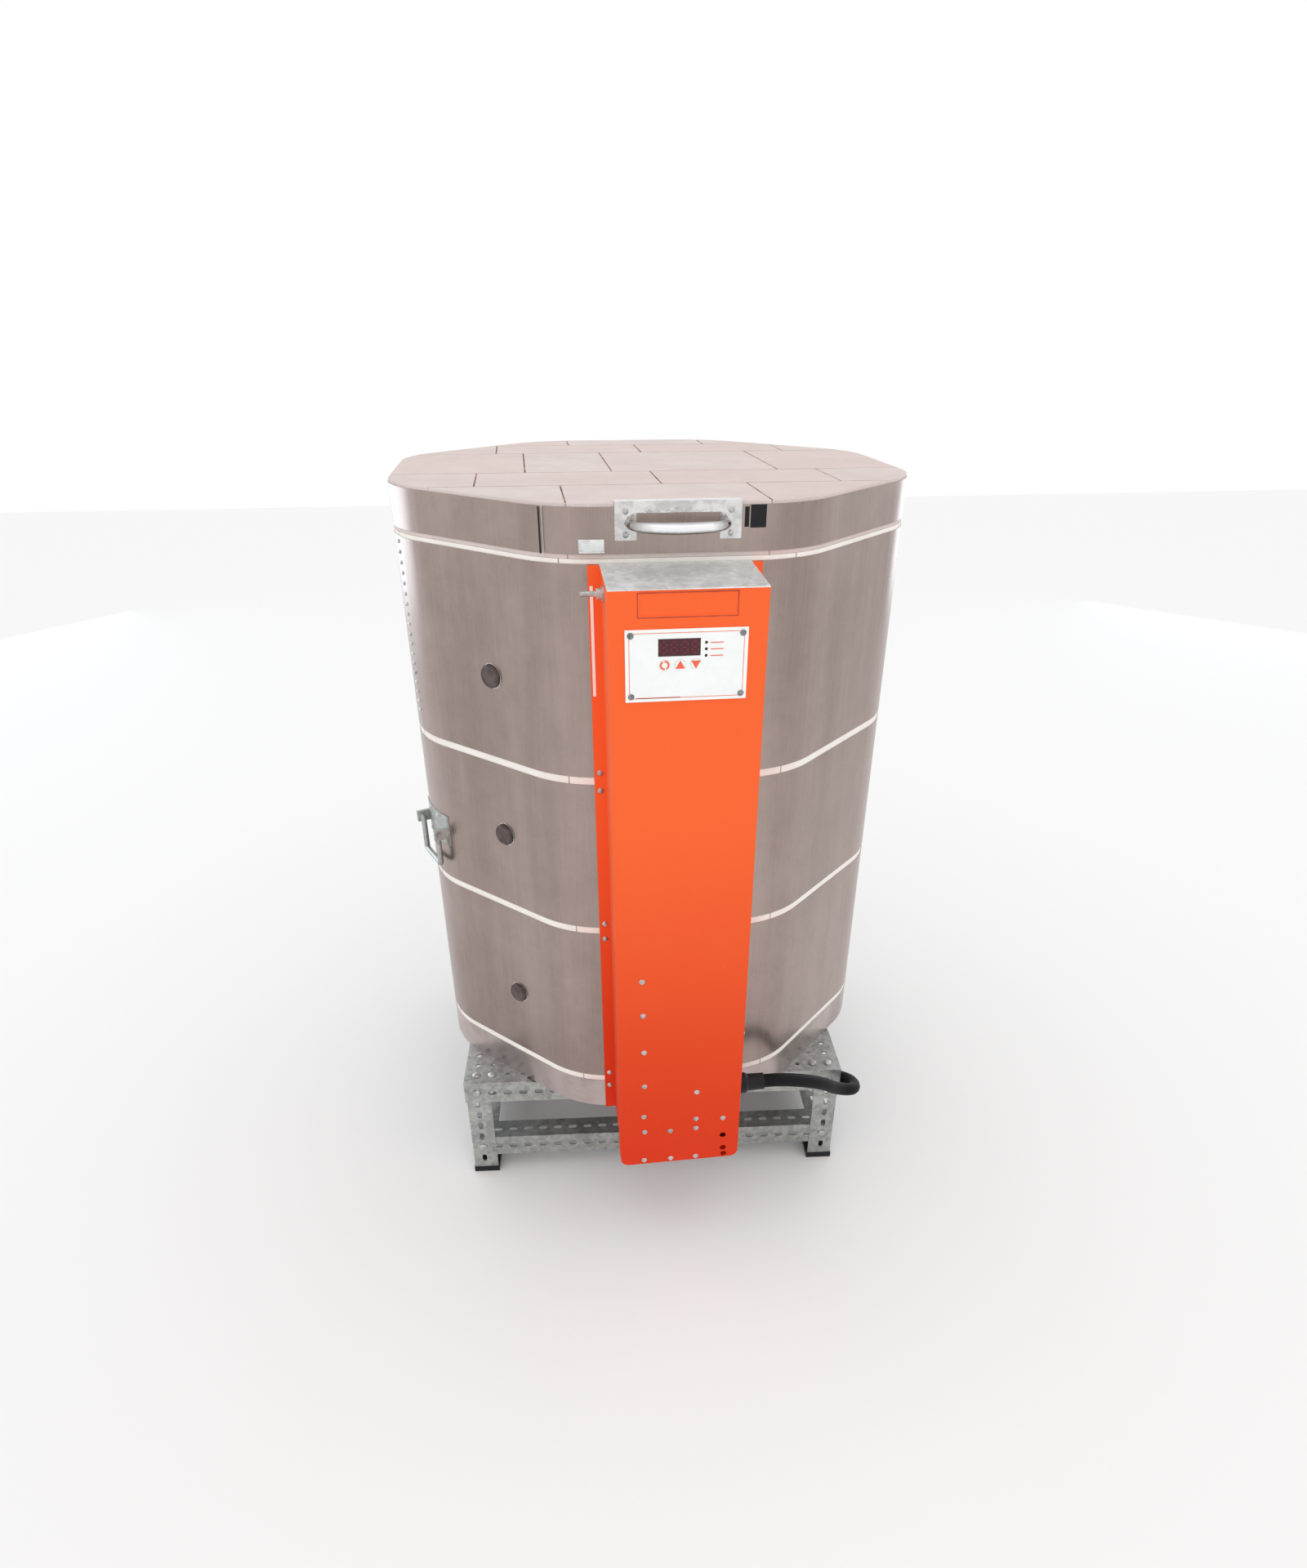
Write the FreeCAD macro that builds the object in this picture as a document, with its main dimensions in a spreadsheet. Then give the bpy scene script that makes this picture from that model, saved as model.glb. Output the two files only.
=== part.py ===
"""An eight-sided electric pottery kiln: three brick rings on a slotted-angle stand.

Units are millimetres, +Z is up and the front, with its control box, faces -Y.
Everything is drawn about the kiln's vertical axis, with the floor at z = 0. At the
end every sub-part is moved so that the origin is the middle of the footprint.
"""
import FreeCAD, Part
import math
import os
import re

import Sketcher
from FreeCAD import Placement, Rotation, Vector

doc = FreeCAD.newDocument("Kiln")

# ---------------------------------------------------------------- driving sizes

SIZES = [
    # casing
    ("across_flats", 676, "octagon of the steel jackets, flat to flat"),
    ("corner_round", 133, "radius of the octagon's rounded corners"),
    ("wall", 64, "brick wall"),
    ("jacket_gauge", 0.8, "stainless sheet"),
    ("seam_show", 5, "brick left bare at each end of a ring"),
    ("bottom_tall", 261, "height of the bottom ring"),
    ("middle_tall", 220, "height of the middle ring"),
    ("top_tall", 265, "height of the top ring"),
    ("floor_tall", 54, "floor slab"),
    ("lid_tall", 58, "lid slab"),
    ("lid_rim", 4, "brick left bare above the lid's band"),
    ("band_gap", 3, "gap between the ends of the lid's band"),
    ("band_gap_along", 119, "place of that gap along its flat"),
    # heating
    ("groove_wide", 15, "element groove"),
    ("groove_deep", 14, "element groove"),
    ("groove_end", 40, "first groove above a ring's base"),
    ("coil_radius", 5.5, "outside of the element's coil"),
    ("tail_radius", 1.6, "element tail"),
    ("tail_side", 22, "tails each side of the middle"),
    ("bush_radius", 5, "ceramic bush round a tail"),
    ("bush_collar", 8, "bush collar"),
    ("probe_radius", 4, "thermocouple sheath"),
    ("probe_reach", 30, "sheath inside the chamber"),
    # spy holes
    ("plug_face", 15, "radius of a peephole plug's face"),
    ("plug_tip", 10.5, "radius at its inner end"),
    ("plug_stand", 5, "plug standing out of the jacket"),
    ("plug_gap", 0.4, "clearance round a plug"),
    ("plug_along", 22, "place of the plugs along their flat"),
    ("plug_drop", 19.5, "plug below the groove above it"),
    # stand
    ("stand_less_wide", 74, "slotted-angle stand narrower than the body, left to right"),
    ("stand_less_deep", 113, "stand shallower than the body, front to back"),
    ("stand_shift", 3, "stand standing left of the body's axis"),
    ("stand_turn", -4, "degrees the stand is turned under the body"),
    ("stand_high", 192, "floor to the top of the corner plates"),
    ("angle_leg", 38, "slotted angle, each leg"),
    ("angle_gauge", 2, "slotted angle, thickness"),
    ("slot_step", 25, "slot spacing aimed at"),
    ("slot_half", 3.75, "half a slot's width"),
    ("slot_long", 14, "slot, end to end"),
    ("lower_rail_top", 72, "top of the lower rails"),
    ("plate_side", 100, "corner plate"),
    ("plate_cut", 45, "cut inner corner of a corner plate"),
    ("plate_gauge", 2, "corner plate"),
    ("foot_wall", 1.5, "plastic foot round a leg"),
    ("foot_sole", 4, "plastic under a leg"),
    ("foot_high", 9, "plastic foot"),
    ("bolt_radius", 3, "stand bolts"),
    ("bolt_head", 6.5, "stand bolts, head radius"),
    # control box
    ("box_x", -5, "middle of the control box"),
    ("box_wide", 172, "control box"),
    ("box_deep", 100, "control box"),
    ("box_sheet", 1.2, "sheet of the control box"),
    ("cover_top", 980, "top of the front cover"),
    ("cover_tall", 816, "front cover"),
    ("cover_return", 25, "turned edge of the cover"),
    ("cover_round", 12, "bottom corners of the cover"),
    ("cover_gap", 0.3, "cover over chassis"),
    ("chassis_base", 191, "bottom of the chassis"),
    ("flange", 15, "chassis flange on the jacket"),
    ("top_drop", 6.5, "fall of the box top towards the front"),
    ("screw_radius", 1.9, "cover screws"),
    ("screw_head", 4, "cover screws"),
    ("vent_radius", 4.6, "vent holes in the cover"),
    ("part_set_back", 28, "relays, transformer and terminals behind the cover's face"),
    ("gland_set_back", 48, "cable gland behind the cover's face"),
    ("bolt_set_back", 66, "bolts on the sides of the box behind the cover's face"),
    # controller
    ("panel_wide", 133, "controller plate"),
    ("panel_tall", 78, "controller plate"),
    ("panel_gauge", 1.5, "controller plate"),
    ("panel_x", -2, "plate from the middle of the box"),
    ("panel_z", 901, "middle of the plate"),
    ("window_wide", 46, "display window"),
    ("window_tall", 19, "display window"),
    ("window_x", -8, "window from the plate's middle"),
    ("window_z", 19.5, "window above the plate's middle"),
    ("key_radius", 5.5, "keys"),
    ("key_collar", 7, "collar behind a key"),
    ("key_step", 17, "key spacing"),
    ("key_gap", 0.25, "clearance round a key"),
    ("key_travel", 0.5, "key travel"),
    ("key_z", 1, "keys above the plate's middle"),
    ("board_gap", 9, "cover to circuit board"),
    # lid fittings
    ("grip_x", -2.5, "middle of the handle plate"),
    ("grip_wide", 141, "handle plate"),
    ("grip_tall", 40, "handle plate"),
    ("grip_gauge", 1.5, "handle plate"),
    ("grip_lug", 24, "handle plate, lug at each end"),
    ("grip_lip", 13, "lip over the lid"),
    ("bar_reach", 111, "handle bar, foot to foot"),
    ("bar_stand", 38, "handle bar, out from the plate"),
    ("bar_radius", 5.5, "handle bar"),
    ("bar_bend", 17, "handle bar, bend radius"),
    # hinge
    ("hinge_wide", 150, "lid hinge"),
    ("hinge_gauge", 3, "hinge leaf"),
    ("hinge_drop", 110, "leaf on the jacket"),
    ("hinge_rise", 40, "leaf on the lid"),
    ("knuckle_radius", 7, "hinge knuckle"),
    ("pin_radius", 4, "hinge pin"),
    ("pin_gap", 0.05, "running clearance of the pins"),
    # side handles
    ("handle_wide", 84, "side handle plate, round the corner"),
    ("handle_tall", 46, "side handle plate"),
    ("handle_base", 567, "bottom of the side handle plates"),
    ("bail_wide", 62, "bail, leg to leg"),
    ("bail_drop", 50, "bail below its pivot"),
    ("bail_bend", 4.2, "bend at the bail's corners"),
    ("bail_radius", 4, "bail rod"),
    # cord
    ("cord_radius", 10, "power cord"),
    ("coil_turn", 110, "coil radius at the cord's middle"),
]

DERIVED = [
    ("flat_half", "across_flats / 2"),
    ("brick_half", "flat_half - jacket_gauge"),
    ("brick_round", "corner_round - jacket_gauge"),
    ("chamber_half", "brick_half - wall"),
    ("floor_top", "stand_high + floor_tall"),
    ("middle_base", "floor_top + bottom_tall"),
    ("top_base", "middle_base + middle_tall"),
    ("seam", "top_base + top_tall"),
    ("lid_top", "seam + lid_tall"),
    ("stand_wide", "across_flats - stand_less_wide"),
    ("stand_deep", "across_flats - stand_less_deep"),
    ("half_wide", "stand_wide / 2"),
    ("half_deep", "stand_deep / 2"),
    ("slot_edge", "angle_leg / 2"),
    ("rail_top", "stand_high - plate_gauge"),
    ("leg_top", "rail_top - angle_gauge"),
    ("box_front", "flat_half + box_deep"),
    ("box_half", "box_wide / 2"),
    ("wall_half", "box_half - box_sheet - cover_gap"),
    ("cover_base", "cover_top - cover_tall"),
    ("cover_back", "box_front - box_sheet"),
    ("board_out", "cover_back - board_gap"),
    ("grip_top", "lid_top + grip_gauge"),
    ("grip_mid", "grip_top - grip_tall / 2 - 2"),
    ("hinge_out", "flat_half + 0.5 + knuckle_radius"),
    ("handle_pivot", "handle_base + handle_tall / 2 - 4"),
    ("front_reach", "box_front + panel_gauge + 1.8"),
    ("rear_reach", "hinge_out + knuckle_radius"),
    ("axis_y", "(front_reach - rear_reach) / 2"),
    ("corner_reach", "(flat_half - corner_round) / cos(22.5 deg) + corner_round"),
    ("bail_out", "corner_reach + 1.5 + bail_radius + 3"),
]

sheet = doc.addObject("Spreadsheet::Sheet", "Sizes")
for row, (alias, value, note) in enumerate(SIZES, start=1):
    sheet.set(f"A{row}", note)
    sheet.set(f"B{row}", str(value))
    sheet.setAlias(f"B{row}", alias)
for row, (alias, formula) in enumerate(DERIVED, start=len(SIZES) + 1):
    sheet.set(f"A{row}", alias.replace("_", " "))
    sheet.set(f"B{row}", "=" + formula)
    sheet.setAlias(f"B{row}", alias)
doc.recompute()
ALIASES = {entry[0] for entry in SIZES} | {entry[0] for entry in DERIVED}


def size(alias):
    """The number in a cell of the sheet."""
    return float(sheet.get(alias))


def cells(formula):
    """A formula in plain aliases, written the way an object's expression needs it."""
    prefixed = re.sub(r"[a-z]\w*", lambda word: "Sizes." + word[0] if word[0] in ALIASES else word[0],
                      str(formula))
    return prefixed


def bind(item, **formulas):
    for name, formula in formulas.items():
        item.setExpression(name.replace("_at_", "Placement.Base."), cells(formula))


def number(formula):
    """The value of a formula of aliases, for the few shapes that are set in code."""
    probe = doc.getObject("Probe") or doc.addObject("App::FeaturePython", "Probe")
    if not hasattr(probe, "Value"):
        probe.addProperty("App::PropertyFloat", "Value")
    probe.setExpression("Value", cells(formula))
    probe.recompute()
    return float(probe.Value)


# ---------------------------------------------------------------- building blocks

AXES = {
    "X": Rotation(Vector(0, 1, 0), 90),
    "-X": Rotation(Vector(0, 1, 0), -90),
    "Y": Rotation(Vector(1, 0, 0), -90),
    "-Y": Rotation(Vector(1, 0, 0), 90),
    "Z": Rotation(),
}


def block(name, length, width, height, x=0, y=0, z=0):
    """A box whose corner nearest minus infinity is at x, y, z."""
    item = doc.addObject("Part::Box", name)
    bind(item, Length=length, Width=width, Height=height, _at_x=x, _at_y=y, _at_z=z)
    return item


def rod(name, radius, height, x=0, y=0, z=0, axis="Z"):
    item = doc.addObject("Part::Cylinder", name)
    item.Placement = Placement(Vector(), AXES[axis])
    bind(item, Radius=radius, Height=height, _at_x=x, _at_y=y, _at_z=z)
    return item


def cut(name, base, *tools):
    item = doc.addObject("Part::Cut", name)
    item.Base = base
    item.Tool = tools[0] if len(tools) == 1 else group(name + "_tools", tools)
    return item


def fuse(name, *shapes):
    item = doc.addObject("Part::MultiFuse", name)
    item.Shapes = list(shapes)
    return item


def group(name, members):
    item = doc.addObject("Part::Compound", name)
    item.Links = list(members)
    return item


def copy(master, placement):
    item = doc.addObject("App::Link", master.Name + "_copy")
    item.LinkedObject = master
    item.LinkTransform = True
    item.Placement = placement
    return item


def copies(name, master, placements):
    """Separate solids of one master, one at each placement."""
    return group(name, [copy(master, placement) for placement in placements])


def origin_plane(body, role):
    return next(item for item in body.Origin.OriginFeatures if item.Role == role)


def polygon(body, role, points):
    """A closed sketch whose corners are pairs of formulas."""
    sketch = body.newObject("Sketcher::SketchObject", body.Name + "_sketch")
    sketch.AttachmentSupport = (origin_plane(body, role), [""])
    sketch.MapMode = "FlatFace"
    values = [Vector(number(a), number(b), 0) for a, b in points]
    count = len(points)
    for index in range(count):
        sketch.addGeometry(Part.LineSegment(values[index], values[(index + 1) % count]))
    for index in range(count):
        sketch.addConstraint(Sketcher.Constraint("Coincident", index, 2, (index + 1) % count, 1))
    for index, pair in enumerate(points):
        for kind, formula, value in zip(("DistanceX", "DistanceY"), pair, values[index]):
            place = sketch.addConstraint(Sketcher.Constraint(kind, -1, 1, index, 1, value))
            sketch.setExpression(f"Constraints[{place}]", cells(formula))
    return sketch


def prism(name, role, points, depth, reverse=False, rounds=None, pick=None):
    """A padded polygon; rounds is a radius for the edges that pick chooses."""
    body = doc.addObject("PartDesign::Body", name)
    sketch = polygon(body, role, points)
    pad = body.newObject("PartDesign::Pad", name + "_pad")
    pad.Profile = sketch
    pad.Reversed = reverse
    bind(pad, Length=depth)
    if rounds is not None:
        round_edges(body, pad, rounds, pick)
    return body


def round_edges(body, feature, radius, pick):
    doc.recompute()
    names = [f"Edge{index}" for index, edge in enumerate(feature.Shape.Edges, start=1) if pick(edge)]
    fillet = body.newObject("PartDesign::Fillet", body.Name + "_round")
    fillet.Base = (feature, names)
    bind(fillet, Radius=radius)


def turned(name, points):
    """A profile of (radius, height) formulas turned about local Z."""
    body = doc.addObject("PartDesign::Body", name)
    sketch = polygon(body, "XZ_Plane", points)
    spin = body.newObject("PartDesign::Revolution", name + "_spin")
    spin.Profile = sketch
    spin.ReferenceAxis = (sketch, ["V_Axis"])
    spin.Angle = 360
    return body


def upright(edge):
    return edge.BoundBox.ZLength > 1 and edge.BoundBox.XLength < 1e-6 and edge.BoundBox.YLength < 1e-6


def octagon(name, half, tall, base, corner=None):
    """A regular octagon, flats facing the axes, padded upwards from a height."""
    body = doc.addObject("PartDesign::Body", name)
    sketch = body.newObject("Sketcher::SketchObject", name + "_sketch")
    sketch.AttachmentSupport = (origin_plane(body, "XY_Plane"), [""])
    sketch.MapMode = "FlatFace"
    radius = number(half) / math.cos(math.radians(22.5))
    corners = [Vector(radius * math.cos(math.radians(45 * step - 22.5)),
                      radius * math.sin(math.radians(45 * step - 22.5)), 0) for step in range(8)]
    for index in range(8):
        sketch.addGeometry(Part.LineSegment(corners[index], corners[(index + 1) % 8]))
    circle = sketch.addGeometry(Part.Circle(Vector(), Vector(0, 0, 1), radius), True)
    sketch.addConstraint(Sketcher.Constraint("Coincident", circle, 3, -1, 1))
    for index in range(8):
        sketch.addConstraint(Sketcher.Constraint("Coincident", index, 2, (index + 1) % 8, 1))
        sketch.addConstraint(Sketcher.Constraint("PointOnObject", index, 1, circle))
    for index in range(1, 8):
        sketch.addConstraint(Sketcher.Constraint("Equal", 0, index))
    sketch.addConstraint(Sketcher.Constraint("Vertical", 0))
    place = sketch.addConstraint(Sketcher.Constraint("Radius", circle, radius))
    sketch.setExpression(f"Constraints[{place}]", f"({cells(half)}) / cos(22.5 deg)")
    pad = body.newObject("PartDesign::Pad", name + "_pad")
    pad.Profile = sketch
    bind(pad, Length=tall)
    bind(body, _at_z=base)
    if corner is not None:
        round_edges(body, pad, corner, upright)
    return body


def facet(angle, along, out, up):
    """A placement on a flat: local Z points out of it, along runs to its left-hand side."""
    turn = math.radians(angle)
    outward = Vector(math.cos(turn), math.sin(turn), 0)
    side = Vector(-math.sin(turn), math.cos(turn), 0)
    return Placement(outward * out + side * along + Vector(0, 0, up),
                     Rotation(Vector(0, 0, 1), angle) * Rotation(Vector(0, 1, 0), 90))


def on_corner(angle, out, up):
    """A place on a rounded corner, local Z out of it; heights run from the flats' distance."""
    nearest = 45 * math.floor(angle / 45) + 22.5
    centre = (size("flat_half") - size("corner_round")) / math.cos(math.radians(22.5))
    turn = math.radians(angle)
    reach = size("corner_round") + out - size("flat_half")
    base = Vector(centre * math.cos(math.radians(nearest)), centre * math.sin(math.radians(nearest)), up)
    return Placement(base + Vector(math.cos(turn), math.sin(turn), 0) * reach,
                     Rotation(Vector(0, 0, 1), angle) * Rotation(Vector(0, 1, 0), 90))


def bent_rod(name, points, radius, bend=None):
    """A round rod through points, each corner turned by an arc that touches both runs."""
    path, radii = [], []
    start = points[0]
    for before, here, after in zip(points, points[1:], points[2:]):
        inward, outward = (here - before), (after - here)
        shorter = min(inward.Length, outward.Length)
        half_turn = inward.getAngle(outward) / 2
        arc = 0.45 * shorter / math.tan(half_turn) if bend is None else number(bend)
        radii.append(round(arc))
        trim = arc * math.tan(half_turn)
        inward.normalize()
        outward.normalize()
        first, last = here - inward * trim, here + outward * trim
        bisector = (outward - inward).normalize()
        middle = here + bisector * (arc / math.cos(half_turn) - arc)
        path += [Part.LineSegment(start, first).toShape(), Part.Arc(first, middle, last).toShape()]
        start = last
    path.append(Part.LineSegment(start, points[-1]).toShape())
    wire = Part.Wire(path)
    section = number(radius)
    ring = Part.Wire(Part.makeCircle(section, points[0], points[1] - points[0]))
    item = doc.addObject("Part::Feature", name)
    item.Shape = wire.makePipeShell([ring], True, False)
    full = math.pi * section ** 2 * wire.Length
    print(f"{name}: bend radii {radii}, length {wire.Length:.0f}, volume ratio {item.Shape.Volume / full:.4f}")
    return item


NODES = []


def node(label, item):
    """Marks an object as a sub-part of its own."""
    item.Label = label
    NODES.append(item)
    return item


# ---------------------------------------------------------------- brickwork and jackets

# name, base, height, number of element grooves, which groove is just above the spy hole
RINGS = [("bottom", "floor_top", "bottom_tall", 3, 1), ("middle", "middle_base", "middle_tall", 4, 2),
         ("top", "top_base", "top_tall", 3, 1)]
PLUG_FLAT = -135
FRONT = -90
HANDLE_TURNS = [("left", -157.5), ("right", 22.5)]


def groove_heights(base, tall, count):
    """Formulas for the middles of a ring's element grooves."""
    return [f"({base} + groove_end + {index} * ({tall} - 2 * groove_end) / {count - 1})"
            for index in range(count)]


def plug_height(base, tall, count, above):
    return number(f"{groove_heights(base, tall, count)[above]} - plug_drop")


wedge = prism("wedge", "XY_Plane",
              [("0", "0"), ("across_flats", "-across_flats * tan(22.5 deg)"),
               ("across_flats", "across_flats * tan(22.5 deg)")], "lid_top")

# the taper of a plug runs from its outer face to the inner face of the wall
plug_taper = turned("plug_hole", [
    ("0", "chamber_half - 1"), ("plug_tip + plug_gap", "chamber_half - 1"),
    ("plug_face + plug_gap", "flat_half + plug_stand"), ("0", "flat_half + plug_stand")])
bush_hole = rod("bush_hole", "bush_radius + 0.2", "wall + 4", 0, 0, "chamber_half - 2")
probe_hole = rod("probe_hole", "probe_radius + 0.2", "wall + 4", 0, 0, "chamber_half - 2")
jacket_hole = rod("jacket_hole", "plug_face + 1.5", 30, 0, 0, "flat_half - 15")


stud_hole = rod("stud_hole", 1.6, 6, 0, 0, "flat_half - 2")


def flange_places():
    """Screws in pairs on both flanges of the control box, one pair across each seam."""
    sides = [size("box_x") + side * (size("wall_half") + size("flange") / 2) for side in (-1, 1)]
    return [facet(FRONT, along, 0, size(joint) + rise) for along in sides
            for joint in ("floor_top", "middle_base", "top_base") for rise in (-12, 12)]


def rivet_places():
    """The column of rivets closing the top jacket, round the left corner."""
    return [on_corner(-159, 0, size("seam") - 12 - 13 * index) for index in range(18)]


def handle_studs(angle):
    return [on_corner(angle + swing, 0, size("handle_base") + up) for swing in (-7, 7) for up in (7, 39)]


def body_hinge_places():
    return [facet(90, along, 0, size("seam") - drop) for along in (-60, 0, 60) for drop in (28, 98)]


def lid_hinge_places():
    return [facet(90, along, 0, size("seam") + 36) for along in (-60, 0, 60)]


def grip_places():
    """Two screws in each lug of the lid's handle plate, above and below the bar."""
    outer = (size("grip_wide") - size("grip_lug")) / 2
    return [facet(FRONT, size("grip_x") + side * outer, 0, size("seam") + up)
            for side in (-1, 1) for up in (25.5, 49.5)]


def stud_places():
    return (flange_places() + rivet_places() + body_hinge_places()
            + [place for _, angle in HANDLE_TURNS for place in handle_studs(angle)])


hinge_screw = turned("hinge_screw", [
    ("0", "flat_half + hinge_gauge + 2"), ("3", "flat_half + hinge_gauge + 1.5"), ("4", "flat_half + hinge_gauge"),
    ("1.5", "flat_half + hinge_gauge"), ("1.5", "brick_half"), ("0", "brick_half")])


def tail_places(heights):
    return [(side * size("tail_side"), number(height)) for height in heights for side in (-1, 1)]


def build_ring(name, base, tall, count, above):
    heights = groove_heights(base, tall, count)
    spy = facet(PLUG_FLAT, size("plug_along"), 0, plug_height(base, tall, count, above))
    outer = octagon(name + "_outer", "brick_half", tall, base, "brick_round")
    inner = octagon(name + "_inner", "chamber_half", f"{tall} + 2", f"{base} - 1")
    grooves = [octagon(f"{name}_groove_{index}", "chamber_half + groove_deep", "groove_wide",
                       f"{height} - groove_wide / 2") for index, height in enumerate(heights)]
    drills = [copy(bush_hole, facet(FRONT, along, 0, up)) for along, up in tail_places(heights)]
    if name == "middle":
        drills.append(copy(probe_hole, facet(FRONT, 0, 0, number(f"{base} + {tall} / 2"))))
    ring = cut(name + "_ring", outer, inner, copy(plug_taper, spy), *grooves, *drills)
    bricks = []
    for step in range(8):
        part = doc.addObject("Part::Common", f"{name}_brick_{step}")
        part.Base = ring
        part.Tool = copy(wedge, Placement(Vector(), Rotation(Vector(0, 0, 1), 45 * step)))
        bricks.append(part)
    node(f"{name}_ring_bricks", group(name + "_bricks", bricks))

    sheet_ring = octagon(name + "_sheet", "flat_half", f"{tall} - 2 * seam_show", f"{base} + seam_show",
                         "corner_round")
    core = octagon(name + "_core", "brick_half", tall, base, "brick_round")
    low, high = number(f"{base} + seam_show"), number(f"{base} + {tall} - seam_show")
    studs = [copy(stud_hole, place) for place in stud_places() if low < place.Base.z < high]
    node(f"{name}_jacket", cut(name + "_shell", sheet_ring, core, copy(jacket_hole, spy), *drills, *studs))


for ring in RINGS:
    build_ring(*ring)

node("floor_bricks", octagon("floor_slab", "brick_half", "floor_tall - jacket_gauge",
                             "stand_high + jacket_gauge", "brick_round"))
node("floor_pan", cut("floor_tray",
                      octagon("floor_sheet", "flat_half", "floor_tall - seam_show", "stand_high", "corner_round"),
                      octagon("floor_core", "brick_half", "floor_tall", "stand_high + jacket_gauge",
                              "brick_round"),
                      *[copy(stud_hole, place) for place in flange_places() if place.Base.z < size("floor_top")]))


# ---------------------------------------------------------------- heating and sensing

def element_loop(height):
    """The outside of one coiled element: a round tube along an octagon."""
    radius = (size("chamber_half") + size("groove_deep") / 2) / math.cos(math.radians(22.5))
    corners = [Vector(radius * math.cos(math.radians(45 * step + 22.5)),
                      radius * math.sin(math.radians(45 * step + 22.5)), height) for step in range(9)]
    path = Part.makePolygon(corners)
    start = (corners[0] + corners[1]) / 2
    loop = Part.Wire(Part.makePolygon([start] + corners[1:8] + [corners[0], start]).Edges)
    ring = Part.Wire(Part.makeCircle(size("coil_radius"), start, corners[1] - corners[0]))
    return loop.makePipeShell([ring], True, False, 2)


def build_elements(name, base, tall, count, above):
    shapes = []
    reach = size("chamber_half") + size("groove_deep") / 2
    length = size("flat_half") + 14 - reach
    for height in groove_heights(base, tall, count):
        up = number(height)
        loop = element_loop(up)
        for side in (-1, 1):
            tail = Part.makeCylinder(size("tail_radius"), length,
                                     Vector(side * size("tail_side"), -reach, up), Vector(0, -1, 0))
            loop = loop.fuse(tail)
        shapes.append(loop)
    item = doc.addObject("Part::Feature", name + "_element_loops")
    item.Shape = Part.makeCompound(shapes)
    item.Placement = Placement()
    node(f"{name}_elements", item)


for ring in RINGS:
    build_elements(*ring)

bush = turned("bush", [
    ("tail_radius + 0.2", "chamber_half + groove_deep + 1"), ("bush_radius", "chamber_half + groove_deep + 1"),
    ("bush_radius", "flat_half"), ("bush_collar", "flat_half"), ("bush_collar", "flat_half + 3"),
    ("bush_radius", "flat_half + 3"), ("bush_radius", "flat_half + 9"), ("tail_radius + 0.2", "flat_half + 9")])
node("element_bushes", copies("bushes", bush, [
    facet(FRONT, along, 0, up)
    for _, base, tall, count, _ in RINGS for along, up in tail_places(groove_heights(base, tall, count))]))

probe = fuse("probe",
             rod("probe_sheath", "probe_radius", "wall + jacket_gauge + probe_reach + 10", 0,
                 "-(chamber_half - probe_reach)", "middle_base + middle_tall / 2", "-Y"),
             rod("probe_head", 11, 5, 0, "-flat_half", "middle_base + middle_tall / 2", "-Y"))
node("thermocouple", probe)


# ---------------------------------------------------------------- peephole plugs

plug_body = turned("plug", [
    ("0", "chamber_half"), ("plug_tip", "chamber_half"),
    ("plug_face - 0.4", "flat_half + plug_stand - 2"), ("plug_face - 2", "flat_half + plug_stand"),
    ("0", "flat_half + plug_stand")])
for ring_name, *ring in RINGS:
    node(f"{ring_name}_peephole_plug", copies(f"{ring_name}_plug", plug_body, [
        facet(PLUG_FLAT, size("plug_along"), 0, plug_height(*ring))]))


# ---------------------------------------------------------------- stand

half_straight = "(slot_long / 2 - slot_half)"
slot = fuse("slot", block("slot_mid", f"2 * {half_straight}", "2 * slot_half", 8, f"-{half_straight}",
                          "-slot_half", -4),
            rod("slot_one", "slot_half", 8, f"-{half_straight}", 0, -4),
            rod("slot_two", "slot_half", 8, half_straight, 0, -4))


def angle_bar(name, length, first, step, count):
    """Slotted angle along +X: one leg flat on z = 0 towards +Y, one hanging down at y = 0."""
    bar = prism(name + "_bar", "YZ_Plane",
                [("0", "0"), ("angle_leg", "0"), ("angle_leg", "-angle_gauge"),
                 ("angle_gauge", "-angle_gauge"), ("angle_gauge", "-angle_leg"), ("0", "-angle_leg")], length)
    flat_slots = [Placement(Vector(first + step * index, size("slot_edge"), 0), Rotation())
                  for index in range(count)]
    hung_slots = [Placement(Vector(first + step * index, 0, -size("slot_edge")), Rotation(Vector(1, 0, 0), 90))
                  for index in range(count)]
    return cut(name, bar, copies(name + "_slots", slot, flat_slots + hung_slots))


def slot_count(span):
    """How many slots, and their real spacing, so that both ends have one."""
    between = max(1, round(span / size("slot_step")))
    return between + 1, span / between


HALF_W, HALF_D = size("half_wide"), size("half_deep")
GAUGE, EDGE, LEG = size("angle_gauge"), size("slot_edge"), size("angle_leg")
SKEW = Placement(Vector(-size("stand_shift"), 0, 0), Rotation(Vector(0, 0, 1), size("stand_turn")))


def stand_place(x, y, z, turn):
    """A place on the stand, turned about the stand's own middle."""
    spun = Rotation(Vector(0, 0, 1), turn)
    return SKEW * Placement(spun.multVec(Vector(x, y, z)), spun)


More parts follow.
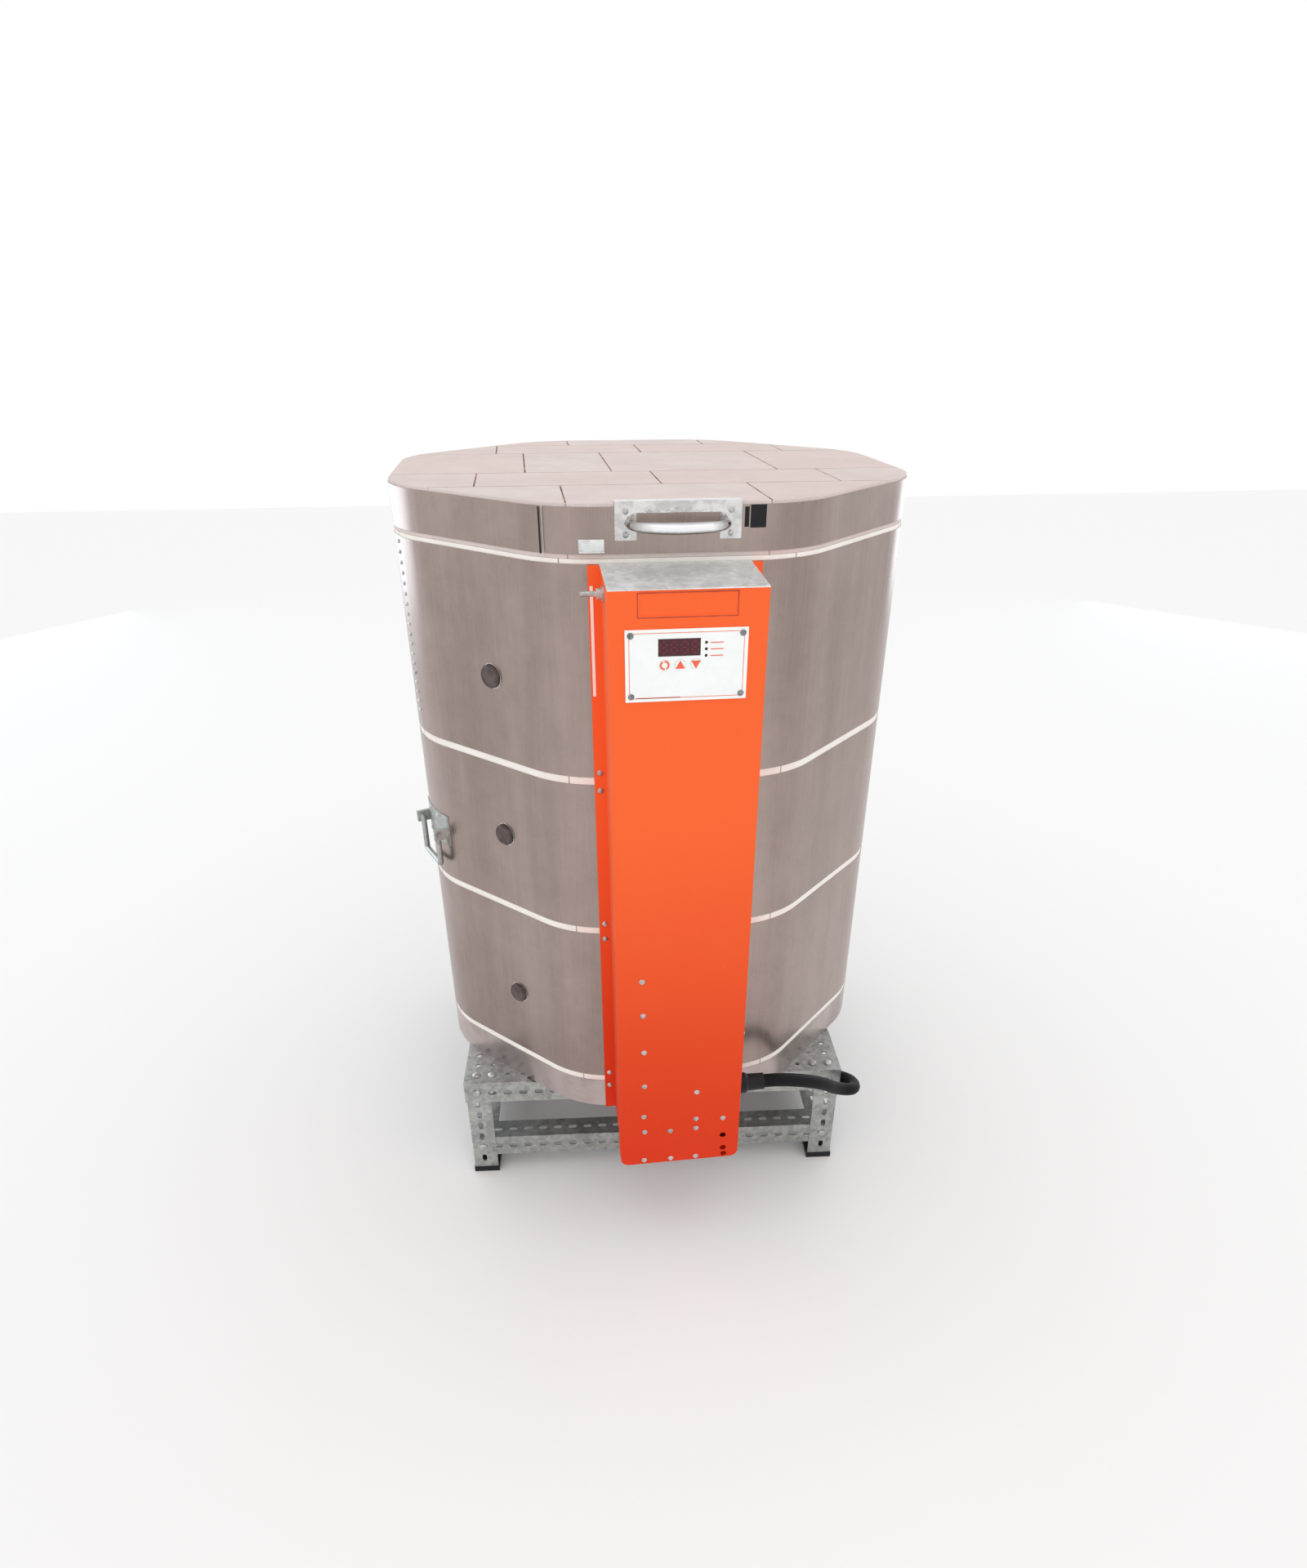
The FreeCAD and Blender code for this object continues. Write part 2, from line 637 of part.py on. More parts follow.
def rail_pair(prefix, inset, top):
    """Front and rear rails run through; side rails butt between them, their flat legs notched."""
    bars = []
    wide, deep = HALF_W - inset, HALF_D - inset
    first = EDGE - inset
    for name, run, across, turns in (("long", wide, deep, (0, 180)), ("short", deep, wide, (90, 270))):
        count, step = slot_count(2 * (run + inset - EDGE))
        bar = angle_bar(f"{prefix}_{name}", 2 * run, first, step, count)
        if name == "short":
            notch = LEG + 0.5
            bar = cut(f"{prefix}_{name}_notched", bar,
                      block(f"{prefix}_notch_a", notch, 100, 2 * GAUGE, 0, "angle_gauge", -GAUGE),
                      block(f"{prefix}_notch_b", notch, 100, 2 * GAUGE, 2 * run - notch, "angle_gauge", -GAUGE),
                      block(f"{prefix}_end_a", GAUGE, 100, 200, 0, -1, -100),
                      block(f"{prefix}_end_b", GAUGE, 100, 200, 2 * run - GAUGE, -1, -100))
        bars += [copy(bar, stand_place(-run, -across, top, turn)) for turn in turns]
    return bars


node("top_rails", group("top_rail_set", rail_pair("top_rail", 0, size("rail_top"))))
node("lower_rails", group("lower_rail_set", rail_pair("lower_rail", 2 * GAUGE, size("lower_rail_top"))))

LEG_TALL = size("leg_top") - size("foot_sole")
TOP_HOLE = size("rail_top") - EDGE
LOW_HOLE = size("lower_rail_top") - EDGE
leg_gaps = max(1, round((TOP_HOLE - LOW_HOLE) / size("slot_step")))
LEG_STEP = (TOP_HOLE - LOW_HOLE) / leg_gaps
leg_below = int((LOW_HOLE - size("foot_high") - 8) // LEG_STEP)


def leg_bar():
    """A leg: slotted angle standing up, its corner outwards at the origin."""
    bar = prism("leg_bar", "XY_Plane",
                [("0", "0"), ("angle_leg", "0"), ("angle_leg", "angle_gauge"), ("angle_gauge", "angle_gauge"),
                 ("angle_gauge", "angle_leg"), ("0", "angle_leg")], "leg_top - foot_sole")
    edge = EDGE - GAUGE
    places = []
    for index in range(leg_gaps + 1 + leg_below):
        up = TOP_HOLE - index * LEG_STEP - size("foot_sole")
        upright_slot = Rotation(Vector(0, 0, 1), Vector(1, 0, 0), Vector(0, 1, 0), "ZXY")
        places.append(Placement(Vector(edge, 0, up), upright_slot))
        places.append(Placement(Vector(0, edge, up),
                                Rotation(Vector(0, 0, 1), Vector(0, 1, 0), Vector(1, 0, 0), "ZXY")))
    return cut("leg_slotted", bar, copies("leg_slots", slot, places))


leg = leg_bar()
CORNERS = [("front_left", -1, -1, 0), ("front_right", 1, -1, 90), ("rear_right", 1, 1, 180),
           ("rear_left", -1, 1, 270)]


def corner_place(x_side, y_side, inset, z, turn):
    return SKEW * Placement(Vector(x_side * (HALF_W - inset), y_side * (HALF_D - inset), z),
                            Rotation(Vector(0, 0, 1), turn))


for corner_name, x_side, y_side, turn in CORNERS:
    node(f"{corner_name}_leg", copies(corner_name + "_leg_at", leg, [
        corner_place(x_side, y_side, GAUGE, size("foot_sole"), turn)]))

foot = cut("foot",
           block("foot_block", "angle_leg + 2 * foot_wall", "angle_leg + 2 * foot_wall", "foot_high",
                 "-foot_wall", "-foot_wall", 0),
           block("foot_well_x", "angle_leg + 0.2", "angle_gauge + 0.2", "foot_high", -0.1, -0.1, "foot_sole"),
           block("foot_well_y", "angle_gauge + 0.2", "angle_leg + 0.2", "foot_high", -0.1, -0.1, "foot_sole"))
node("foot_caps", copies("feet", foot, [corner_place(x_side, y_side, GAUGE, 0, turn)
                                        for _, x_side, y_side, turn in CORNERS]))

rail_step = {name: slot_count(2 * (half - EDGE))[1] for name, half in (("wide", HALF_W), ("deep", HALF_D))}


def plate_master(name, along):
    """A corner plate with its outer corner at the origin and slots that meet the rails'."""
    plate = prism(name + "_blank", "XY_Plane",
                  [("0", "0"), ("plate_side", "0"), ("plate_side", "plate_side - plate_cut"),
                   ("plate_side - plate_cut", "plate_side"), ("0", "plate_side")], "plate_gauge")
    hole = rod(name + "_hole", "slot_half", 8, 0, 0, -4)
    places = [Placement(Vector(EDGE + along * i, EDGE + along * j, 0), Rotation())
              for i in range(4) for j in range(4) if i + j < 5 and i < 4 and j < 4
              and EDGE + along * max(i, j) < size("plate_side") - 6]
    return cut(name, plate, copies(name + "_holes", hole, places))


plate = plate_master("corner_plate", rail_step["wide"])
plate_turns = [(x_side, y_side, turn) for _, x_side, y_side, turn in CORNERS]
node("corner_plates", copies("plates", plate, [corner_place(x_side, y_side, 0, size("rail_top"), turn)
                                               for x_side, y_side, turn in plate_turns]))

bolt = turned("bolt", [
    ("0", "3.5"), ("bolt_head * 0.62", "3"), ("bolt_head", "1.2"), ("bolt_head", "0"),
    ("bolt_radius", "0"), ("bolt_radius", "-2 * angle_gauge"), ("bolt_head", "-2 * angle_gauge"),
    ("bolt_head", "-2 * angle_gauge - 5"), ("bolt_radius", "-2 * angle_gauge - 5"),
    ("bolt_radius", "-2 * angle_gauge - 8"), ("0", "-2 * angle_gauge - 8")])


def bolt_places():
    places = []
    for _, x_side, y_side, _ in CORNERS:
        for up, inset in ((TOP_HOLE, 0), (LOW_HOLE, GAUGE)):
            across_x = x_side * (HALF_W - EDGE)
            across_y = y_side * (HALF_D - EDGE)
            places.append(Placement(Vector(across_x, y_side * (HALF_D - inset), up),
                                    AXES["Y" if y_side > 0 else "-Y"]))
            places.append(Placement(Vector(x_side * (HALF_W - inset), across_y, up),
                                    AXES["X" if x_side > 0 else "-X"]))
        for index in (0, 1):
            places.append(Placement(Vector(x_side * (HALF_W - EDGE - index * rail_step["wide"]),
                                           y_side * (HALF_D - EDGE), size("stand_high")), Rotation()))
    return [SKEW * place for place in places]


node("stand_bolts", copies("bolts", bolt, bolt_places()))


# ---------------------------------------------------------------- side handles

handle_lug = 38


def patch(name, thick, base, tall, along, wide, angle):
    """A plate lying on the casing that follows its rounded corners."""
    shell = cut(name + "_skin", octagon(name + "_over", f"flat_half + {thick}", tall, base, f"corner_round + {thick}"),
                octagon(name + "_under", "flat_half", f"{tall} + 2", f"{base} - 1", "corner_round"))
    window = block(name + "_window", 120, wide, f"{tall} + 2", "flat_half - 60", f"{along} - {wide} / 2",
                   f"{base} - 1")
    item = doc.addObject("Part::Common", name)
    item.Base = shell
    item.Tool = copy(window, Placement(Vector(), Rotation(Vector(0, 0, 1), angle)))
    return item


def handle_plate(name, angle):
    plate_skin = patch(name + "_skin_plate", 1.5, "handle_base", "handle_tall", 0, "handle_wide", angle)
    lugs = []
    for side in (-1, 1):
        middle = f"{side * handle_lug} - 2.5"
        lugs.append(block(f"{name}_lug_{side + 1}", "8 + 1.5 + bail_radius + 3 + 7", 5, 16,
                          "corner_reach - 8", middle, "handle_pivot - 8"))
    lug_set = cut(name + "_lugs", fuse(name + "_lug_pair", *lugs),
                  rod(name + "_bore", "bail_radius + pin_gap", 120, "bail_out", -60, "handle_pivot", "Y"))
    turned_lugs = copy(lug_set, Placement(Vector(), Rotation(Vector(0, 0, 1), angle)))
    whole = fuse(name + "_whole", plate_skin, turned_lugs)
    return cut(name + "_plate", whole,
               octagon(name + "_body", "flat_half", 200, "handle_base - 60", "corner_round"),
               *[copy(stud_hole, place) for place in handle_studs(angle)])


for side_name, angle in HANDLE_TURNS:
    node(f"{side_name}_handle_plate", handle_plate(side_name + "_handle", angle))
    reach, pivot = size("bail_out"), size("handle_pivot")
    half, low = size("bail_wide") / 2, size("handle_pivot") - size("bail_drop")
    points = [(reach, -half - 11, pivot), (reach, -half, pivot), (reach, -half, low), (reach, half, low),
              (reach, half, pivot), (reach, half + 11, pivot)]
    bail = bent_rod(side_name + "_bail_rod", [Vector(*point) for point in points], "bail_radius", "bail_bend")
    node(f"{side_name}_handle_bail", group(side_name + "_bail_at", [
        copy(bail, Placement(Vector(), Rotation(Vector(0, 0, 1), angle)))]))

rivet = turned("rivet", [("0", "flat_half + 2.2"), ("2", "flat_half + 1.6"), ("3", "flat_half"),
                         ("1.5", "flat_half"), ("1.5", "brick_half"), ("0", "brick_half")])
node("jacket_fasteners", group("rivets", [copy(rivet, place) for place in rivet_places()]
                            + [copy(hinge_screw, place) for place in body_hinge_places()]
                            + [copy(copy(rivet, Placement(Vector(0, 0, 1.5), Rotation())), place)
                               for angle in [turn for _, turn in HANDLE_TURNS] for place in handle_studs(angle)]))


# ---------------------------------------------------------------- lid

lid_shape = octagon("lid_slab", "brick_half", "lid_tall", "seam", "brick_round")
# rows of bricks from the front: where a row starts, then the joints along it
LID_ROWS = [(-400, (-125, 102)), (-196, (-227, -2, 222)), (-73, (-165, -52, 170)), (150, (-205, 12, 231)),
            (260, (-92, 125)), (400, ())]
lid_bricks = []
for (start, joints), (stop, _) in zip(LID_ROWS, LID_ROWS[1:]):
    edges = (-400,) + joints + (400,)
    for left, right in zip(edges, edges[1:]):
        name = f"lid_brick_{len(lid_bricks)}"
        cell = block(name + "_cell", right - left, stop - start, "lid_tall + 2", left, start, "seam - 1")
        brick = doc.addObject("Part::Common", name)
        brick.Base, brick.Tool = lid_shape, cell
        lid_bricks.append(brick)
node("lid_bricks", group("lid_brickwork", lid_bricks))

band_split = block("band_split", 40, "band_gap", "lid_tall + 4", "flat_half - 30",
                   "band_gap_along - band_gap / 2", "seam - 2")
lid_shell = cut("lid_shell",
                octagon("lid_sheet", "flat_half", "lid_tall - seam_show - lid_rim", "seam + seam_show",
                        "corner_round"),
                octagon("lid_core", "brick_half", "lid_tall", "seam", "brick_round"),
                copy(band_split, Placement(Vector(), Rotation(Vector(0, 0, 1), PLUG_FLAT))),
                *[copy(stud_hole, place) for place in grip_places() + lid_hinge_places()])
node("lid_band", lid_shell)

grip_half = "grip_wide / 2"
grip = prism("grip_face", "XZ_Plane",
             [(f"-{grip_half}", "0"), (f"-{grip_half} + grip_lug", "0"), (f"-{grip_half} + grip_lug", "grip_tall - 12"),
              (f"{grip_half} - grip_lug", "grip_tall - 12"), (f"{grip_half} - grip_lug", "0"), (f"{grip_half}", "0"),
              (f"{grip_half}", "grip_tall"), (f"-{grip_half}", "grip_tall")], "grip_gauge")
bind(grip, _at_x="grip_x", _at_y="-flat_half", _at_z="grip_top - grip_tall")
grip_fold = block("grip_fold", "grip_wide", "grip_lip + grip_gauge", "grip_gauge", f"grip_x - {grip_half}",
                  "-flat_half - grip_gauge", "lid_top")
node("lid_handle_plate", cut("grip", fuse("grip_bent", grip, grip_fold),
                             *[copy(stud_hole, place) for place in grip_places()]))
bar_half, bar_front = size("bar_reach") / 2, -(size("flat_half") + size("grip_gauge"))
bar_z = size("seam") + 37
bar_points = [(-bar_half, bar_front, bar_z), (-bar_half, bar_front - size("bar_stand"), bar_z),
              (bar_half, bar_front - size("bar_stand"), bar_z), (bar_half, bar_front, bar_z)]
node("lid_handle_bar", bent_rod("bar", [Vector(x + size("grip_x") - 1, y, z) for x, y, z in bar_points],
                                "bar_radius", "bar_bend"))

grip_screw = turned("grip_screw", [("0", "flat_half + 3.6"), ("2", "flat_half + 3.2"), ("3.5", "flat_half + 1.5"),
                                   ("1.5", "flat_half + 1.5"), ("1.5", "brick_half"), ("0", "brick_half")])
node("lid_screws", group("lid_screw_set", [copy(grip_screw, place) for place in grip_places()]
                         + [copy(hinge_screw, place) for place in lid_hinge_places()]))
node("lid_tab", fuse("tab", patch("tab_back", 1.2, "seam + 8", 13, -99, 28, FRONT),
                     patch("tab_lip", 7, "seam + 8", 1.2, -99, 28, FRONT)))
node("lid_label", group("labels", [patch("label_wide", 0.3, "seam + 30", 24, 87, 18, FRONT),
                                   patch("label_narrow", 0.3, "seam + 31", 21, 74, 5, FRONT)]))


# ---------------------------------------------------------------- lid hinge, at the rear

KNUCKLES = 5


def hinge_leaf(name, base, tall, web_base, web_tall, turns, screws):
    leaf = block(name + "_leaf", "hinge_wide", "hinge_gauge", tall, "-hinge_wide / 2", "flat_half", base)
    parts = [leaf]
    for index in turns:
        left = f"-hinge_wide / 2 + {index} * hinge_wide / {KNUCKLES} + 0.2"
        parts.append(rod(f"{name}_knuckle_{index}", "knuckle_radius", f"hinge_wide / {KNUCKLES} - 0.4", left,
                         "hinge_out", "seam", "X"))
        parts.append(block(f"{name}_web_{index}", f"hinge_wide / {KNUCKLES} - 0.4", "hinge_out - flat_half - 3",
                           web_tall, left, "flat_half", web_base))
    return cut(name, fuse(name + "_solid", *parts),
               rod(name + "_bore", "pin_radius + pin_gap", "hinge_wide + 20", "-hinge_wide / 2 - 10",
                   "hinge_out", "seam", "X"),
               *[copy(stud_hole, place) for place in screws])


node("body_hinge_leaf", hinge_leaf("body_leaf", "seam - 8 - hinge_drop", "hinge_drop", "seam - 9", "9",
                                   (0, 2, 4), body_hinge_places()))
node("lid_hinge_leaf", hinge_leaf("lid_leaf", "seam + 8", "hinge_rise", "seam", "9", (1, 3), lid_hinge_places()))
node("hinge_pin", fuse("hinge_rod",
                       rod("hinge_shaft", "pin_radius", "hinge_wide + 4", "-hinge_wide / 2 - 2", "hinge_out",
                           "seam", "X"),
                       rod("hinge_head_a", "pin_radius + 2", 2, "-hinge_wide / 2 - 4", "hinge_out", "seam", "X"),
                       rod("hinge_head_b", "pin_radius + 2", 2, "hinge_wide / 2 + 2", "hinge_out", "seam", "X")))


# ---------------------------------------------------------------- control box

top_slope = "top_drop / box_deep"
GLAND_Y, GLAND_Z = size("gland_set_back") - size("box_front"), 261
LEFT_BOLT = (size("bolt_set_back") - size("box_front"), 963)
RIGHT_BOLT = (size("bolt_set_back") - size("box_front"), 339)


def side_plate(name, x):
    plate_body = prism(name, "YZ_Plane",
                       [("-flat_half", "chassis_base"), ("-flat_half", "cover_top + top_drop"),
                        ("-(cover_back - cover_gap)", f"cover_top + ({top_slope}) * (box_sheet + cover_gap)"),
                        ("-(cover_back - cover_gap)", "chassis_base")], "box_sheet")
    bind(plate_body, _at_x=x)
    return plate_body


def on_cover(x, z, out=0.0):
    """A place on the front of the cover, local Z pointing out of it; x is from the body's axis."""
    return Placement(Vector(x, -size("box_front") - out, z), AXES["-Y"])


def on_side(side, y, z):
    x = size("box_x") + side * size("wall_half")
    return Placement(Vector(x, y, z), AXES["X" if side > 0 else "-X"])


chassis = cut(
    "chassis",
    fuse("chassis_bent",
         side_plate("side_left", "box_x - wall_half"), side_plate("side_right", "box_x + wall_half - box_sheet"),
         block("flange_left", "flange", "box_sheet", "cover_top + top_drop - chassis_base",
               "box_x - wall_half - flange", "-flat_half - box_sheet", "chassis_base"),
         block("flange_right", "flange", "box_sheet", "cover_top + top_drop - chassis_base",
               "box_x + wall_half", "-flat_half - box_sheet", "chassis_base"),
         block("chassis_floor", "2 * wall_half", "cover_back - cover_gap - flat_half", "box_sheet",
               "box_x - wall_half", "-(cover_back - cover_gap)", "chassis_base + 4")),
    rod("gland_bore", 11.2, 20, "box_x + wall_half - 10", GLAND_Y, GLAND_Z, "X"),
    rod("left_bolt_bore", 3.2, 20, "box_x - wall_half - 10", LEFT_BOLT[0], LEFT_BOLT[1], "X"),
    rod("right_bolt_bore", 2.7, 20, "box_x + wall_half - 10", RIGHT_BOLT[0], RIGHT_BOLT[1], "X"),
    *[copy(stud_hole, place) for place in flange_places()])
node("box_chassis", chassis)

roof = prism("roof", "YZ_Plane",
             [("-flat_half", "cover_top + top_drop"), ("-flat_half", "cover_top + top_drop + box_sheet"),
              ("-box_front", "cover_top + box_sheet"), ("-box_front", "cover_top")], "box_wide")
bind(roof, _at_x="box_x - box_half")
node("box_top", roof)


def cover_shell():
    def slab(name, inset, front, top, reach, radius):
        half = f"(box_half - {inset})"
        low = f"(cover_base + {inset})"
        body = prism(name, "XZ_Plane", [(f"-{half}", low), (half, low), (half, top), (f"-{half}", top)],
                     reach, True, radius,
                     lambda edge: edge.BoundBox.YLength > 5 and edge.BoundBox.ZMax < number("cover_base") + 5)
        bind(body, _at_x="box_x", _at_y=f"-({front})")
        return body
    return cut("cover_sheet",
               slab("cover_outer", "0", "box_front", "cover_top", "cover_return", "cover_round"),
               slab("cover_inner", "box_sheet", "cover_back", "cover_top + 10", "cover_return + 5",
                    "cover_round - box_sheet"))


PANEL_X = size("box_x") + size("panel_x")
PANEL_Z = size("panel_z")
# x from the body's axis and height below the lid seam of each screw on the front
COVER_SCREWS = [(-58, 504), (-57, 559), (-56, 621), (-56, 681), (18, 699), (-57, 737), (18, 749), (57, 752),
                (-56, 766), (-19, 768), (18, 767), (-57, 821), (-18, 822), (19, 822)]
VENTS = [(58, 785), (59, 810), (60, 822)]
PANEL_SCREWS = [(side * (size("panel_wide") / 2 - 6), rise * (size("panel_tall") / 2 - 6))
                for side in (-1, 1) for rise in (-1, 1)]
cover_bore = rod("cover_bore", "screw_radius + 0.2", 8, 0, 0, -6)
vent_bore = rod("vent_bore", "vent_radius", 8, 0, 0, -6)
cover = cut("cover", cover_shell(),
            *[copy(cover_bore, on_cover(x, size("seam") - down)) for x, down in COVER_SCREWS],
            *[copy(vent_bore, on_cover(x, size("seam") - down)) for x, down in VENTS],
            *[copy(cover_bore, on_cover(PANEL_X + x, PANEL_Z + z)) for x, z in PANEL_SCREWS],
            block("panel_opening", 86, 12, 48, PANEL_X - 50, "-box_front - 2", PANEL_Z - 12),
            block("blank_plate_recess", 104, 2, 26, -57, "-box_front - 1.6", size("seam") - 38))
node("box_cover", cover)

node("flange_strip", block("strip", 3.5, 0.4, 127, "box_x - wall_half - flange + 2",
                           "-flat_half - box_sheet - 0.4", 837))

cover_screw = turned("cover_screw", [("0", "2"), ("screw_head * 0.6", "1.8"), ("screw_head", "0"),
                                     ("screw_radius", "0"), ("screw_radius", "-8"), ("0", "-8")])
flange_screw = turned("flange_screw", [
    ("0", "flat_half + box_sheet + 2"), ("2.6", "flat_half + box_sheet + 1.6"), ("4", "flat_half + box_sheet"),
    ("1.5", "flat_half + box_sheet"), ("1.5", "brick_half"), ("0", "brick_half")])
left_bolt = turned("left_bolt", [("0", "26"), ("3", "26"), ("3", "8"), ("6", "8"), ("6", "2"), ("9", "2"),
                                 ("9", "0"), ("3", "0"), ("3", "-1.2"), ("6", "-1.2"), ("6", "-6"), ("0", "-6")])
right_bolt = turned("right_bolt", [("0", "18"), ("2.5", "18"), ("2.5", "4"), ("5", "4"), ("5", "0"),
                                   ("2.5", "0"), ("2.5", "-1.2"), ("5", "-1.2"), ("5", "-5"), ("0", "-5")])
node("box_screws", group("box_screw_set",
                         [copy(cover_screw, on_cover(x, size("seam") - down)) for x, down in COVER_SCREWS]
                         + [copy(flange_screw, place) for place in flange_places()]
                         + [copy(left_bolt, on_side(-1, *LEFT_BOLT)), copy(right_bolt, on_side(1, *RIGHT_BOLT))]))


# ---------------------------------------------------------------- controller

WINDOW = (PANEL_X + size("window_x"), PANEL_Z + size("window_z"))
KEYS = [("key_cycle", -24), ("key_up", -24 + size("key_step")), ("key_down", -24 + 2 * size("key_step"))]
LIGHTS = [(21, 24), (21, 17), (21, 10)]
panel_blank = block("panel_blank", "panel_wide", "panel_gauge", "panel_tall", "box_x + panel_x - panel_wide / 2",
                    "-box_front - panel_gauge", "panel_z - panel_tall / 2")
light_bore = rod("light_bore", 1.7, 8, 0, 0, -4)
key_bore = rod("key_bore", "key_radius + key_gap", 8, 0, 0, -4)
node("controller_plate", cut(
    "panel", panel_blank,
    block("window_opening", "window_wide", 10, "window_tall", f"{WINDOW[0]} - window_wide / 2", "-box_front - 5",
          f"{WINDOW[1]} - window_tall / 2"),
    *[copy(light_bore, on_cover(PANEL_X + x, PANEL_Z + z)) for x, z in LIGHTS],
    *[copy(key_bore, on_cover(PANEL_X + x, PANEL_Z + size("key_z"))) for _, x in KEYS],
    *[copy(cover_bore, on_cover(PANEL_X + x, PANEL_Z + z, 3)) for x, z in PANEL_SCREWS]))

board_blank = block("board_blank", "panel_wide - 2", 1.6, "panel_tall - 2",
                    "box_x + panel_x - panel_wide / 2 + 1", "-board_out", "panel_z - panel_tall / 2 + 1")
spacer = rod("spacer", 4, "cover_back - board_out", 0, 0, 0)
board_bore = rod("board_bore", "screw_radius + 0.1", 30, 0, 0, -15)
node("controller_board", cut("board", fuse("board_solid", board_blank, *[
    copy(spacer, Placement(Vector(PANEL_X + x, -size("board_out"), PANEL_Z + z), AXES["-Y"]))
    for x, z in PANEL_SCREWS]), *[copy(board_bore, on_cover(PANEL_X + x, PANEL_Z + z)) for x, z in PANEL_SCREWS]))
node("display", block("display_block", "window_wide - 0.6", "box_front + 0.8 - board_out", "window_tall - 0.6",
                      f"{WINDOW[0]} - window_wide / 2 + 0.3", "-box_front - 0.8",
                      f"{WINDOW[1]} - window_tall / 2 + 0.3"))
light = rod("light", 1.5, "box_front + panel_gauge - board_out", 0, 0, 0)
node("indicator_lights", copies("light_set", light, [
    Placement(Vector(PANEL_X + x, -size("board_out"), PANEL_Z + z), AXES["-Y"]) for x, z in LIGHTS]))
key_body = turned("key", [("0", "panel_gauge + 1.2"), ("key_radius - 0.5", "panel_gauge + 1.2"),
                          ("key_radius", "panel_gauge + 0.7"), ("key_radius", "0"), ("key_collar", "0"),
                          ("key_collar", "-1"), ("2.5", "-1"), ("2.5", "board_out + 0.7 - box_front"),
                          ("0", "board_out + 0.7 - box_front")])
for key_name, x in KEYS:
    node(key_name, copies(key_name + "_at", key_body, [on_cover(PANEL_X + x, PANEL_Z + size("key_z"))]))
panel_screw = turned("panel_screw", [
    ("0", "panel_gauge + 1.8"), ("2.2", "panel_gauge + 1.6"), ("3.6", "panel_gauge"), ("screw_radius", "panel_gauge"),
    ("screw_radius", "board_out - box_front - 3"), ("0", "board_out - box_front - 3")])
node("controller_screws", copies("panel_screw_set", panel_screw, [
    on_cover(PANEL_X + x, PANEL_Z + z) for x, z in PANEL_SCREWS]))


# ---------------------------------------------------------------- inside the control box

inner_left, inner_right = "box_x - wall_half + box_sheet", "box_x + wall_half - box_sheet"
node("transformer", fuse("transformer_solid",
                         block("transformer_core", 40, 48, 56, f"{inner_left}", "part_set_back - 2 - box_front", 690),
                         block("transformer_coil", 52, 34, 34, f"{inner_left}", "part_set_back + 5 - box_front", 701)))
node("relays", group("relay_set", [block(f"relay_{index}", 32, 45, 50, f"{inner_right} - 32",
                                         "part_set_back - box_front", 420 + 110 * index)
                                   for index in range(3)]))
node("terminal_block", fuse("terminal_solid",
                            block("terminal_base", 20, 34, 90, f"{inner_left}", "part_set_back + 5 - box_front", 290),
                            *[block(f"terminal_{index}", 28, 26, 12, f"{inner_left}", "part_set_back + 9 - box_front",
                                    296 + 20 * index)
                              for index in range(4)]))


# ---------------------------------------------------------------- power cord

gland_side = "box_x + wall_half"
gland = turned("gland", [
    ("cord_radius + 0.3", "-8"), ("15", "-8"), ("15", "-1.2"), ("11", "-1.2"), ("11", "0"), ("16", "0"), ("16", "8"),
    ("15", "9"), ("15", "18"), ("12.5", "22"), ("cord_radius + 2", "46"), ("cord_radius + 0.3", "46")])
node("cable_gland", copies("gland_at", gland, [on_side(1, GLAND_Y, GLAND_Z)]))

CORD = [(74, -390, 261), (158, -390, 261), (226, -364, 224), (262, -327, 176), (300, -318, 161),
        (310, -268, 140), (272, -216, 116), (225, -168, 92), (205, -110, 40), (192, -45, 10.3),
        (172, 60, 10.3), (142, 190, 10.3), (112, 330, 10.3), (112, 450, 10.3)]
cord = bent_rod("cord", [Vector(*point) for point in CORD], "cord_radius")
node("power_cord", cord)

COIL_X, COIL_Y = 112 - size("coil_turn"), 450


def cord_coil():
    """Two turns lying on one another and a tail leaving the upper turn."""
    radius, turn, pitch = size("cord_radius"), size("coil_turn"), 2 * size("cord_radius") + 0.6
    helix = Part.makeHelix(pitch, 2 * pitch, turn)
    start = Part.Wire(Part.makeCircle(radius, Vector(turn, 0, 0), Vector(0, 1, 0)))
    solid = Part.Wire(helix.Edges).makePipeShell([start], True, True)
    tail = Part.makeCylinder(radius, 96, Vector(turn, 0, 2 * pitch), Vector(0, 1, 0))
    solid = solid.fuse(tail)
    solid.translate(Vector(COIL_X, COIL_Y, radius + 0.3))
    return solid


coil = doc.addObject("Part::Feature", "coil")
coil.Shape = cord_coil()
node("cord_coil", coil)

TAIL_END = Vector(112, 450 + 96, 10.3 + 2 * 20.6)
plug_grip = turned("plug_grip", [("0", "0"), ("12", "0"), ("13", "10"), ("12.5", "28"), ("24", "42"), ("29", "50"),
                                 ("29", "72"), ("27", "76"), ("0", "76")])
blades = [block(f"blade_{index}", 2, 8, 20, x - 1, y - 4, 75) for index, (x, y) in enumerate([(-11, -4), (11, -4)])]
power_plug = fuse("power_plug_solid", plug_grip, *blades, rod("earth_pin", 3, 22, 0, 12, 75))
node("power_plug", group("power_plug_at", [copy(power_plug, Placement(TAIL_END, AXES["Y"]))]))


# ---------------------------------------------------------------- one frame, then the files

doc.recompute()
shift = Vector(0, size("axis_y"), 0)
wrong = [item.Name for item in doc.Objects if "Invalid" in item.State or "Error" in item.State]
if wrong:
    raise RuntimeError(f"objects that did not build: {wrong}")

